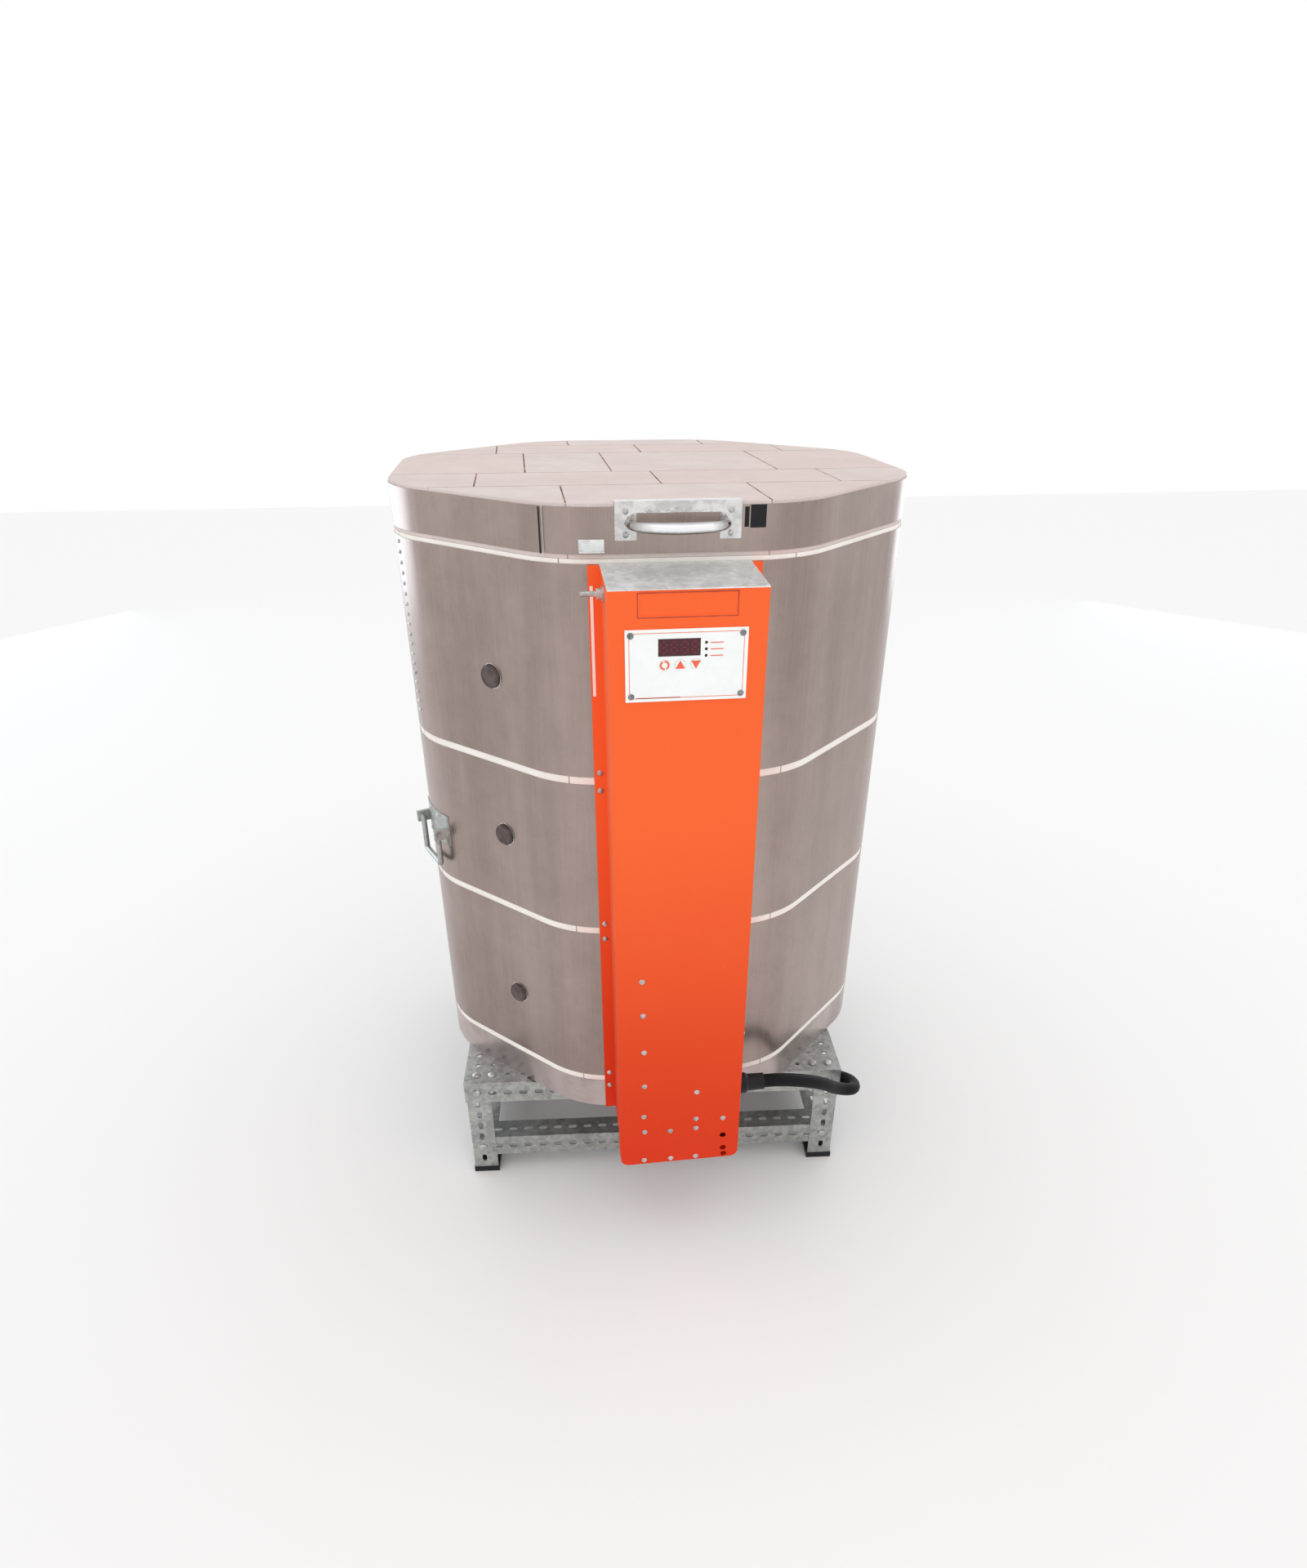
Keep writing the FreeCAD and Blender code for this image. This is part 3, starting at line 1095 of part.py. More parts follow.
os.makedirs("parts", exist_ok=True)
whole = FreeCAD.BoundBox()
for item in NODES:
    shape = Part.getShape(item)
    if shape.isNull() or not shape.isValid() or not shape.Solids:
        raise RuntimeError(f"{item.Label} has no sound solid")
    shape = shape.copy()
    shape.translate(shift)
    if item.Label not in ("power_cord", "cord_coil", "power_plug"):
        whole.add(shape.BoundBox)
    shape.exportStep(f"parts/{item.Label}.step")
    print(f"{item.Label:24s} {len(shape.Solids):3d} solids {shape.Volume / 1000:10.1f} cc")
print("footprint", round(whole.XMin, 3), round(whole.XMax, 3), round(whole.YMin, 3), round(whole.YMax, 3),
      "height", round(whole.ZMin, 3), round(whole.ZMax, 3))
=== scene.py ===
# %% [markdown]
# # An electric pottery kiln
#
# The solids of this kiln come from a CAD model and stand in for the real object's size and joints.
# This script gives them their looks: it builds the pieces that need more shape than a plain solid
# has, and gives every surface a material made of nodes. Everything is in metres, +Z is up and the
# control box faces -Y.

# %% Load the frame
import math

import bpy
from mathutils import Matrix, Vector


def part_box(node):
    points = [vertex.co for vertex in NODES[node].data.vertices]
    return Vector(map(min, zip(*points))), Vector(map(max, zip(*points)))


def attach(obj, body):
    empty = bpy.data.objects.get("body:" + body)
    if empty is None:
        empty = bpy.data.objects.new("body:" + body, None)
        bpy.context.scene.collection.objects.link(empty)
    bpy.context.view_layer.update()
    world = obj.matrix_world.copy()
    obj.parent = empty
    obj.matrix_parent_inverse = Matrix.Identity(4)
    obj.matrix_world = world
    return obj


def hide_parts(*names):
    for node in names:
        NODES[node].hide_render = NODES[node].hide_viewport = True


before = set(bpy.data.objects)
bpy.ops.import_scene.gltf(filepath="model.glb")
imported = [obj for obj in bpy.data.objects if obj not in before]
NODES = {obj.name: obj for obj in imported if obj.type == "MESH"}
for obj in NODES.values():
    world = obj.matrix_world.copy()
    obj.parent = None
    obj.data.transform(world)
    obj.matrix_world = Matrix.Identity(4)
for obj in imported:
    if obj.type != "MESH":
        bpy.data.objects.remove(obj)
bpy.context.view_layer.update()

AXIS = (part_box("middle_jacket")[0][1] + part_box("middle_jacket")[1][1]) / 2
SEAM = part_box("top_ring_bricks")[1][2]
print("body's axis at y =", round(AXIS, 4), "lid seam at z =", round(SEAM, 4))


# %% [markdown]
# ## Selecting
#
# Blender's operators act on whatever is selected, as they do by hand. The frame leaves its own
# solids selected, so everything is deselected before anything new is added or changed.

# %% Selecting
def deselect():
    bpy.ops.object.select_all(action="DESELECT")


def pick(*chosen):
    """Makes some objects the selected ones and the first of them active, as clicks would."""
    deselect()
    for item in chosen:
        item.select_set(True)
    bpy.context.view_layer.objects.active = chosen[0]
    return chosen[0]


def link(name, data):
    """Puts a curve, mesh, lamp or camera into the scene as an object."""
    made = bpy.data.objects.new(name, data)
    bpy.context.collection.objects.link(made)
    return made


def to_mesh(curve):
    """Turns a curve object into a mesh that shades smoothly."""
    pick(curve)
    bpy.ops.object.convert(target="MESH")
    bpy.ops.object.shade_smooth()
    return bpy.context.object


# %% [markdown]
# ## Camera
#
# The kiln is looked at from a standing person's height, a little to its left, with a wide lens
# tilted down. A small lens shift, like a view camera's, sets the kiln in the middle of the frame
# without tilting further.

# %% Camera
HEADING, TILT, ROLL = -7.506, 58.82, 0.14
camera = link("view_camera", bpy.data.cameras.new("view_camera"))
lens = camera.data
lens.sensor_width, lens.lens = 36.0, 22.32
lens.shift_x, lens.shift_y = -0.0037, 0.0833
lens.clip_start, lens.clip_end = 0.05, 50
camera.location = (-0.1706, AXIS - 1.461, SEAM + 0.221)
aim = Matrix.Rotation(math.radians(HEADING), 4, "Z") @ Matrix.Rotation(math.radians(TILT), 4, "X")
camera.rotation_euler = (aim @ Matrix.Rotation(math.radians(ROLL), 4, "Z")).to_euler()
bpy.context.scene.camera = camera
print("camera at", tuple(round(v, 3) for v in camera.location))


# %% [markdown]
# ## Shader arithmetic
#
# A material is a small program. Wrapping a socket in a class lets that program be written as plain
# arithmetic: every operator adds one Math node and links it up.

# %% Shader helpers
class Value:
    """A number that varies over a surface, held as a socket."""

    def __init__(self, paint, socket):
        self.paint, self.socket = paint, socket

    def _math(self, operation, *terms):
        return self.paint.node("ShaderNodeMath", {"operation": operation}, dict(enumerate(terms)))

    def __add__(self, other):
        return self._math("ADD", self, other)

    def __radd__(self, other):
        return self._math("ADD", other, self)

    def __sub__(self, other):
        return self._math("SUBTRACT", self, other)

    def __rsub__(self, other):
        return self._math("SUBTRACT", other, self)

    def __mul__(self, other):
        return self._math("MULTIPLY", self, other)

    def __rmul__(self, other):
        return self._math("MULTIPLY", other, self)

    def clamp(self):
        """The number held between 0 and 1."""
        return self.paint.node("ShaderNodeClamp", {}, {0: self})

    def away(self, centre):
        """Distance along one axis from a centre."""
        return self._math("ABSOLUTE", self - centre)

    def ramp(self, low, high):
        """A soft step: 0 below low, 1 above high."""
        return self.paint.node("ShaderNodeMapRange", {"interpolation_type": "SMOOTHSTEP"},
                               {0: self, 1: low, 2: high, 3: 0.0, 4: 1.0})


print("operators on a Value:", [name for name in vars(Value) if name.endswith(("add__", "sub__", "mul__"))])


# %% [markdown]
# ## A material
#
# A Paint is one material round Blender's general-purpose shader. One method adds any node and hands
# back its output, and a few short ones name the nodes that these finishes are made of. Colours go
# through Mix nodes, because a Math node would turn them grey.

# %% Paint
class Paint:
    """One material; node() adds any node and returns one of its outputs as a Value."""

    def __init__(self, name, color, roughness=0.5, metallic=0.0):
        self.material = bpy.data.materials.new(name)
        self.material.use_nodes = True
        self.material.diffuse_color = (*color, 1.0)
        self.tree = self.material.node_tree
        self.shader = self.tree.nodes["Principled BSDF"]
        self.set("Base Color", (*color, 1.0))
        self.set("Roughness", roughness)
        self.set("Metallic", metallic)

    def feed(self, socket, value):
        """Links a Value to a socket, or writes a plain number or colour on it."""
        if isinstance(value, Value):
            self.tree.links.new(value.socket, socket)
        else:
            socket.default_value = value

    def set(self, socket, value):
        self.feed(self.shader.inputs[socket], value)

    def node(self, kind, settings, inputs, output=0):
        item = self.tree.nodes.new(kind)
        for name, value in settings.items():
            setattr(item, name, value)
        for key, value in inputs.items():
            self.feed(item.inputs[key], value)
        return Value(self, item.outputs[output])

    def place(self):
        """The point being shaded, in metres, as X, Y and Z values and as one vector."""
        spot = self.node("ShaderNodeTexCoord", {}, {}, "Object")
        parts = self.tree.nodes.new("ShaderNodeSeparateXYZ")
        self.tree.links.new(spot.socket, parts.inputs[0])
        return spot, [Value(self, parts.outputs[index]) for index in range(3)]

    def stretched(self, spot, scale):
        return self.node("ShaderNodeMapping", {}, {"Vector": spot, "Scale": scale})

    def noise(self, spot, scale, detail=3.0, rough=0.55):
        return self.node("ShaderNodeTexNoise", {},
                         {"Vector": spot, "Scale": scale, "Detail": detail, "Roughness": rough})

    def cells(self, spot, scale, output):
        """Voronoi cells: output 0 is the distance to a cell's middle, output 1 the cell's colour."""
        return self.node("ShaderNodeTexVoronoi", {"feature": "F1"}, {"Vector": spot, "Scale": scale}, output)

    def blend(self, factor, first, second):
        """Mixes two colours."""
        first, second = (color if isinstance(color, Value) else (*color, 1.0) for color in (first, second))
        return self.node("ShaderNodeMix", {"data_type": "RGBA"}, {0: factor, 6: first, 7: second}, 2)

    def bump(self, height, strength, distance):
        self.set("Normal", self.node("ShaderNodeBump", {},
                                     {"Strength": strength, "Distance": distance, "Height": height}))


def dress(paint, *names):
    """Gives CAD nodes a material in place of the plain one they came with."""
    for name in names:
        mesh = NODES[name].data
        mesh.materials.clear()
        mesh.materials.append(paint.material)


print("paint methods:", [name for name in vars(Paint) if not name.startswith("_")])


# %% [markdown]
# ## The power cord
#
# A cord is one length of something flexible. It leaves the box through a gland, goes down and round
# the stand's right front leg, under the kiln and out behind it, where the spare length is wound up.
# A NURBS curve passes near its control points in one smooth sweep, which is how a thick rubber cord
# lies. The points are the route's own, so the cord follows its solid.

# %% Cord route
CORD_RADIUS = 0.010
FLOOR_LINE = 10.3
route = [(74, -390, 261), (110, -390, 261), (158, -390, 261), (226, -364, 224), (262, -327, 176),
         (300, -318, 161), (310, -268, 140), (272, -216, 116), (225, -168, 92), (205, -110, 40),
         (192, -45, FLOOR_LINE), (172, 60, FLOOR_LINE), (142, 190, FLOOR_LINE), (112, 330, FLOOR_LINE),
         (112, 450, FLOOR_LINE)]
COIL_X, COIL_Y, COIL_RADIUS, COIL_STEP, COIL_POINTS = 2, 450, 110, 20.6, 14
reach = COIL_RADIUS / math.cos(math.pi / COIL_POINTS) ** 0.5
for index in range(1, 2 * COIL_POINTS):
    angle = 2 * math.pi * index / COIL_POINTS
    route.append((COIL_X + reach * math.cos(angle), COIL_Y + reach * math.sin(angle),
                  FLOOR_LINE + COIL_STEP * index / COIL_POINTS))
top_turn = FLOOR_LINE + 2 * COIL_STEP
route += [(112, 450, top_turn), (112, 500, top_turn), (112, 546, top_turn)]
print("points on the cord's route", len(route))


# %% [markdown]
# ## The cord as a tube
#
# Giving the curve a round bevel makes it a tube. The line down its middle is read from a copy of the
# curve with no bevel.

# %% Cord
def add_cord():
    curve = bpy.data.curves.new("supply_cord", "CURVE")
    curve.dimensions, curve.resolution_u = "3D", 10
    spline = curve.splines.new("NURBS")
    spline.points.add(len(route) - 1)
    for point, (x, y, z) in zip(spline.points, route):
        point.co = (x / 1000, y / 1000 + AXIS, z / 1000, 1)
    spline.order_u = 3
    spline.use_endpoint_u = True
    probe = link("probe", curve.copy())
    line = [vertex.co.copy() for vertex in bpy.data.meshes.new_from_object(probe).vertices]
    bpy.data.objects.remove(probe)
    curve.bevel_depth, curve.bevel_resolution, curve.use_fill_caps = CORD_RADIUS, 4, True
    return to_mesh(link("supply_cord", curve)), line


cord, cord_line = add_cord()
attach(cord, "kiln")
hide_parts("power_cord", "cord_coil")


# %% [markdown]
# ## Stainless jacket
#
# The jackets are thin stainless sheet, rolled with a faint upright grain and never quite flat. Noise
# stretched upwards gives the grain, and soft large noise in the bump bends what the sheet mirrors,
# which no even roughness would do.

# %% Stainless
def stainless():
    paint = Paint("brushed_stainless", (0.34, 0.30, 0.28), metallic=1.0)
    spot, (x, y, z) = paint.place()
    grain = paint.noise(paint.stretched(spot, (700, 700, 9)), 1.0, 4.0, 0.6)
    cloud = paint.noise(paint.stretched(spot, (5, 5, 1.6)), 1.0, 3.0)
    streak = paint.noise(paint.stretched(spot, (17, 17, 1.1)), 1.0, 5.0, 0.62)
    scuff = paint.noise(spot, 26, 6.0, 0.7)
    tone = (cloud * 0.46 + streak * 0.26 + scuff * 0.16 + grain * 0.12).ramp(0.32, 0.68)
    paint.set("Base Color", paint.blend(tone, (0.275, 0.212, 0.190), (0.445, 0.358, 0.326)))
    paint.set("Roughness", grain * 0.08 + scuff * 0.16 + 0.17)
    sheet = paint.noise(paint.stretched(spot, (3.2, 3.2, 1.1)), 1.0, 1.0)
    paint.bump(sheet * 12 + grain * 0.06 + scuff * 0.05, 0.35, 0.002)
    return paint


STEEL = stainless()
print("nodes in the steel", len(STEEL.tree.nodes))


# %% [markdown]
# ## Firebrick
#
# Insulating brick is pale, dead matt and full of tiny pits. Fine cells make the pits and three sizes
# of noise the stains. The lid's bricks were fired separately, so each carries its own number from 0
# to 1 and takes its tone from that; the walls' bricks meet in mitres at the octagon's corners, drawn
# as lines that run out from the kiln's axis.

# %% Firebrick
def firebrick(name, light, dark, separate=False, mitres=False):
    paint = Paint(name, light, 0.95)
    spot, (x, y, z) = paint.place()
    fine = paint.noise(spot, 900, 4.0, 0.7)
    patches = paint.noise(spot, 14, 4.0)
    stain = paint.noise(spot, 47, 6.0, 0.65)
    pits = paint.cells(spot, 520, 0)
    tone = (patches * 0.45 + fine * 0.25 + stain * 0.3).ramp(0.34, 0.66)
    color = paint.blend(tone, dark, light)
    if separate:
        fired = paint.node("ShaderNodeAttribute", {"attribute_name": "fired"}, {}, "Fac")
        color = paint.blend(fired, color, paint.blend(0.5, color, (0.66, 0.52, 0.48)))
    height = pits * 0.6 + fine * 0.6
    if mitres:
        clear = 1.0
        for step in range(4):
            turn = math.radians(22.5 + 45 * step)
            line = x * math.sin(turn) - (y - AXIS) * math.cos(turn)
            clear = clear * line.away(0.0).ramp(0.0003, 0.0011)
        color = paint.blend(clear, (0.40, 0.31, 0.26), color)
        height = height + clear * 2.0
    paint.set("Base Color", color)
    paint.bump(height, 0.30, 0.0007)
    return paint


WALL_BRICK = firebrick("pale_wall_brick", (0.95, 0.915, 0.86), (0.87, 0.82, 0.76), mitres=True)
LID_BRICK = firebrick("pinkish_lid_brick", (0.725, 0.635, 0.605), (0.635, 0.545, 0.515), separate=True)
print("brick finishes", WALL_BRICK.material.name, LID_BRICK.material.name)


# %% [markdown]
# ## Galvanised steel
#
# Zinc dipped on hot steel cools into spangles, seen as patches of slightly different grey. The cells'
# own random colours, turned to grey, give one tone to a spangle, and noise wears it.

# %% Galvanised
def galvanised(name, dark, light, gloss, metallic=0.9):
    paint = Paint(name, light, metallic=metallic)
    spot, _ = paint.place()
    grey = paint.node("ShaderNodeRGBToBW", {}, {0: paint.cells(spot, 160, 1)})
    cloud = paint.noise(spot, 22, 5.0, 0.62)
    wear = paint.noise(spot, 75, 6.0, 0.7)
    tone = (grey * 0.22 + cloud * 0.48 + wear * 0.30).ramp(0.33, 0.67)
    paint.set("Base Color", paint.blend(tone, dark, light))
    paint.set("Roughness", grey * 0.10 + cloud * 0.18 + gloss)
    paint.bump(cloud * 1.0 + wear * 0.6, 0.45, 0.0014)
    return paint


ZINC = galvanised("galvanised_sheet", (0.31, 0.325, 0.31), (0.52, 0.535, 0.515), 0.30)
# a lighter copy of the same zinc for the box top and lid tab: painted light, from the bright room they mirror
SKYLIT_ZINC = galvanised("zinc_with_painted_light", (0.66, 0.68, 0.675), (0.90, 0.915, 0.91), 0.22, 0.45)
SCREW = galvanised("screw_zinc", (0.34, 0.34, 0.34), (0.66, 0.66, 0.66), 0.30)
# a darker copy of the screw zinc: painted shade of the inset holes the controller's screws sit in
SHADED_SCREW = galvanised("panel_screw_painted_shade", (0.10, 0.105, 0.11), (0.34, 0.35, 0.36), 0.25)
print("zinc finishes", [paint.material.name for paint in (ZINC, SKYLIT_ZINC, SCREW, SHADED_SCREW)])


# %% [markdown]
# ## Orange powder coat
#
# The box is sprayed with powder and baked, which leaves a fine orange peel. Painted shade makes the
# colour deeper towards the floor, where less light is thrown back at it; a little dust clings to it.

# %% Powder coat
def orange_coat():
    paint = Paint("orange_powder_coat", (1.0, 0.16, 0.045), 0.42)
    spot, (x, y, z) = paint.place()
    peel = paint.noise(spot, 420, 2.0)
    cloud = paint.noise(spot, 6, 2.0)
    dust = paint.noise(spot, 140, 5.0, 0.7)
    # painted shade: the coat darkens towards the floor
    painted_floor_shade = z.ramp(0.15, 0.80)
    tone = (painted_floor_shade * 0.88 + cloud * 0.12).clamp()
    color = paint.blend(tone, (0.71, 0.032, 0.004), (1.0, 0.150, 0.036))
    paint.set("Base Color", paint.blend(dust.ramp(0.60, 0.78) * 0.18, color, (1.0, 0.30, 0.17)))
    paint.set("Roughness", cloud * 0.1 + dust * 0.08 + 0.42)
    paint.set("Specular IOR Level", 0.14)
    paint.bump(peel, 0.08, 0.0004)
    return paint


ORANGE = orange_coat()
print("nodes in the coat", len(ORANGE.tree.nodes))


# %% [markdown]
# ## Bright metal
#
# The handle's plate and bar are bright plated. The plate is pressed sheet, so its bump is soft dents.
# The bar is a polished rod that mirrors the dark steel below it and the room above, so its tone
# follows its height and is darker at its feet, which a bare metal surface on its own wouldn't show
# in an empty room.

# %% Bright metal
def chrome(name, color, wave):
    paint = Paint(name, color, metallic=1.0)
    spot, _ = paint.place()
    smudge = paint.noise(spot, 40, 4.0)
    dent = paint.noise(spot, 70, 3.0, 0.6)
    paint.set("Roughness", smudge * 0.14 + 0.06)
    tone = dent.ramp(0.38, 0.62)
    paint.set("Base Color", paint.blend(tone * 0.8, tuple(channel * 0.72 for channel in color), color))
    paint.bump(dent, wave, 0.002)
    return paint


def polished_bar():
    """Bright above and dark underneath, where it mirrors the steel and the box below it."""
    paint = Paint("mirror_bar", (0.9, 0.9, 0.9), metallic=1.0)
    spot, (x, _, z) = paint.place()
    (left, _, low), (right, _, high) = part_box("lid_handle_bar")
    scratch = paint.noise(paint.stretched(spot, (12, 500, 500)), 1.0, 3.0)
    smudge = paint.noise(spot, 55, 4.0)
    # painted reflections: a dark underside, a darker line along the top and dark ends
    under = (z + smudge * 0.0016).ramp(low + 0.0015, low + 0.0048)
    crown = (z + smudge * 0.0012).ramp(high - 0.0022, high + 0.0008)
    color = paint.blend(under, (0.20, 0.165, 0.145), (0.93, 0.93, 0.94))
    color = paint.blend(crown * 0.75, color, (0.34, 0.33, 0.36))
    ends = (x + smudge * 0.012).away((left + right) / 2 + 0.006).ramp(0.030, 0.056)
    paint.set("Base Color", paint.blend(ends * 0.85, color, (0.24, 0.20, 0.175)))
    paint.set("Roughness", scratch * 0.08 + smudge * 0.06 + 0.02)
    return paint


BRIGHT = chrome("bright_plate", (0.80, 0.79, 0.785), 0.47)
MIRROR = polished_bar()
print("bright finishes", BRIGHT.material.name, MIRROR.material.name)


# %% [markdown]
# ## Small parts
#
# Plastic, rubber, ceramic, varnish and print share one finish: a base tone with a little unevenness
# in colour and gloss and a faint texture, each at its own scale.

# %% Plain finishes
def plain(name, color, roughness, metallic=0.0, spread=0.15, scale=60.0, bump=0.1):
    """A finish with a little unevenness in tone and gloss and a faint texture."""
    paint = Paint(name, color, roughness, metallic)
    spot, _ = paint.place()
    cloud = paint.noise(spot, scale, 4.0)
    dark = tuple(channel * (1 - spread) for channel in color)
    light = tuple(min(1.0, channel * (1 + spread)) for channel in color)
    paint.set("Base Color", paint.blend(cloud.ramp(0.3, 0.7), dark, light))
    paint.set("Roughness", cloud * 0.12 + roughness - 0.06)
    paint.bump(paint.noise(spot, scale * 9, 2.0), bump, 0.0004)
    return paint


PAN = plain("mauve_pan_steel", (0.46, 0.39, 0.38), 0.30, 1.0, spread=0.18, scale=14)
JOINT = plain("brick_joint", (0.33, 0.22, 0.19), 0.95, spread=0.6, scale=24)
WIRE = plain("oxidised_wire", (0.10, 0.09, 0.085), 0.55, 0.6)
CERAMIC = plain("white_ceramic", (0.80, 0.77, 0.72), 0.55)
PLUG_CLAY = plain("dark_ceramic", (0.095, 0.072, 0.068), 0.85, spread=0.35, scale=110, bump=0.3)
BLACK = plain("black_plastic", (0.018, 0.018, 0.020), 0.45)
RUBBER = plain("cord_rubber", (0.004, 0.004, 0.005), 0.60, scale=90)
WHITE = plain("white_panel", (0.94, 0.97, 0.955), 0.42, spread=0.02, bump=0.02)
BOARD = plain("circuit_board", (0.02, 0.10, 0.05), 0.4)
GLASS_RED = plain("display_window", (0.062, 0.004, 0.012), 0.14, spread=0.1, bump=0.0)
DIGIT_RED = plain("display_digits", (0.17, 0.010, 0.028), 0.4, spread=0.1, bump=0.0)
PRINT_RED = plain("panel_print", (0.93, 0.13, 0.055), 0.4, spread=0.05, bump=0.02)
PRINT_DARK = plain("faded_outline", (0.50, 0.055, 0.016), 0.5, spread=0.25)
# painted shadow for the gap in the lid's band
SHADOW = plain("painted_gap_shadow", (0.012, 0.010, 0.009), 0.9, spread=0.3)
VARNISH = plain("transformer_varnish", (0.06, 0.06, 0.07), 0.5)
for dull in (RUBBER, BLACK):
    dull.set("Specular IOR Level", 0.18)
print("materials so far", len(bpy.data.materials))


# %% [markdown]
# ## Dressing the solids
#
# Most of the kiln's solids are already the right shape and only need their finish. One line for each
# finish lists the parts that have it.

# %% Dress
dress(STEEL, "bottom_jacket", "middle_jacket", "top_jacket", "lid_band")
dress(PAN, "floor_pan")
dress(WALL_BRICK, "bottom_ring_bricks", "middle_ring_bricks", "top_ring_bricks", "floor_bricks")
dress(ZINC, "top_rails", "lower_rails", "front_left_leg", "front_right_leg", "rear_left_leg",
      "rear_right_leg", "corner_plates", "left_handle_plate", "right_handle_plate", "left_handle_bail",
      "right_handle_bail", "body_hinge_leaf", "lid_hinge_leaf", "hinge_pin")
dress(SKYLIT_ZINC, "box_top", "lid_tab")
dress(SHADED_SCREW, "controller_screws")
dress(SCREW, "box_screws", "stand_bolts", "jacket_fasteners", "lid_screws")
dress(ORANGE, "box_chassis", "box_cover")
dress(BRIGHT, "lid_handle_plate")
dress(CERAMIC, "element_bushes", "thermocouple", "terminal_block")
dress(PLUG_CLAY, "bottom_peephole_plug", "middle_peephole_plug", "top_peephole_plug")
dress(BLACK, "foot_caps", "relays", "cable_gland", "lid_label", "power_plug")
dress(WHITE, "flange_strip", "controller_plate", "key_cycle", "key_up", "key_down")
dress(BOARD, "controller_board")
dress(GLASS_RED, "display", "indicator_lights")
dress(VARNISH, "transformer")
cord.data.materials.append(RUBBER.material)
print("solids dressed", sum(len(item.data.materials) > 0 for item in NODES.values()))


# %% [markdown]
# ## The lid's brickwork
#
# The lid is one slab of firebricks laid in rows. Its joints could be drawn on one solid, but cutting
# the slab into separate bricks and softening their edges gives real joints, whose little chamfers
# take a dark material of their own, as mortar does. The slab starts as an eight-sided cylinder, and a
# bevel on its upright edges gives the rounded corners.

# %% Lid slab
CORNER_RADIUS = 0.1322
ROUND_PROFILE = 0.548       # bends a bevel of a 135 degree corner to a true arc


def in_edit_mode(kind, chosen, operate):
    """Selects edges or faces of the active mesh, as chosen() says, and runs an operator on them."""
    bpy.ops.object.mode_set(mode="EDIT")
    bpy.ops.mesh.select_mode(type=kind)
    bpy.ops.mesh.select_all(action="DESELECT")
    bpy.ops.object.mode_set(mode="OBJECT")
    mesh = bpy.context.object.data
    for item in mesh.edges if kind == "EDGE" else mesh.polygons:
        item.select = chosen(mesh, item)
    bpy.ops.object.mode_set(mode="EDIT")
    operate()
    bpy.ops.object.mode_set(mode="OBJECT")


def upright(mesh, edge):
    first, second = (mesh.vertices[index].co for index in edge.vertices)
    return abs(first.z - second.z) > 0.9 * (first - second).length


def add_slab():
    (_, _, low), (half, _, high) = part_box("lid_bricks")
    deselect()
    bpy.ops.mesh.primitive_cylinder_add(vertices=8, radius=half / math.cos(math.radians(22.5)),
                                        depth=high - low, location=(0, AXIS, (low + high) / 2),
                                        rotation=(0, 0, math.radians(22.5)))
    bpy.ops.object.transform_apply(location=True, rotation=True, scale=True)
    in_edit_mode("EDGE", upright, lambda: bpy.ops.mesh.bevel(
        offset=CORNER_RADIUS * math.tan(math.radians(22.5)), segments=6, profile=ROUND_PROFILE))
    return bpy.context.object, half


slab, slab_half = add_slab()
print("slab's corners", len(slab.data.vertices) // 2, "half width", round(slab_half, 4))


# %% [markdown]
# ## Cutting the bricks
#
# Each brick is a copy of the slab, cut at its four joints. A bisect with its cut filled is the saw.
# The bevel modifier rounds the edges and gives them the joint's material; the lid's outer rim isn't
# a joint, so its faces are set back to brick.

# %% Lid bricks
LID_ROWS = [(-400, (-125, 102)), (-196, (-227, -2, 222)), (-73, (-165, -52, 170)),
            (150, (-205, 12, 231)), (260, (-92, 125)), (400, ())]
GOLDEN = 0.381966           # steps of this share spread the bricks' tones evenly


def everything(mesh, item):
    return True


def saw(point, normal):
    """Cuts away what lies beyond a plane and closes the cut."""
    if bpy.context.object.data.polygons:
        in_edit_mode("FACE", everything, lambda: bpy.ops.mesh.bisect(
            plane_co=point, plane_no=normal, use_fill=True, clear_outer=True))


def cut_brick(left, right, front, back, number):
    pick(slab)
    bpy.ops.object.duplicate()
    brick = bpy.context.object
    brick.name = f"lid_brick_{number}"
    saw((left + 0.0002, 0, 0), (-1, 0, 0))
    saw((right - 0.0002, 0, 0), (1, 0, 0))
    saw((0, front + AXIS + 0.0001, 0), (0, -1, 0))
    saw((0, back + AXIS - 0.0001, 0), (0, 1, 0))
    return brick


def on_rim(middle, half):
    """Whether a point lies on one of the octagon's flats."""
    return any((middle - Vector((0, AXIS, 0))).dot(Matrix.Rotation(math.radians(45 * side), 3, "Z").col[0])
               > half - 0.0015 for side in range(8))


def finish_brick(brick, number):
    for paint in (LID_BRICK, JOINT):
        brick.data.materials.append(paint.material)
    tone = brick.data.attributes.new("fired", "FLOAT", "FACE")
    tone.data.foreach_set("value", [number * GOLDEN % 1.0] * len(brick.data.polygons))
    chamfer = brick.modifiers.new("chamfer", "BEVEL")
    chamfer.width, chamfer.segments, chamfer.material = 0.0008, 1, 1
    chamfer.limit_method, chamfer.angle_limit = "ANGLE", math.radians(60)
    pick(brick)
    bpy.ops.object.modifier_apply(modifier="chamfer")
    for face in brick.data.polygons:
        if on_rim(face.center, slab_half) or abs(face.normal.x * face.normal.y) > 0.01:
            face.material_index = 0


bricks = []
for (front, joints), (back, _) in zip(LID_ROWS, LID_ROWS[1:]):
    edges = (-400,) + joints + (400,)
    for left, right in zip(edges, edges[1:]):
        brick = cut_brick(left / 1000, right / 1000, front / 1000, back / 1000, len(bricks))
        if brick.data.polygons:
            finish_brick(brick, len(bricks))
            bricks.append(brick)
        else:
            bpy.data.objects.remove(brick)      # it lay outside the octagon
bpy.data.objects.remove(slab)
print("lid bricks", len(bricks))

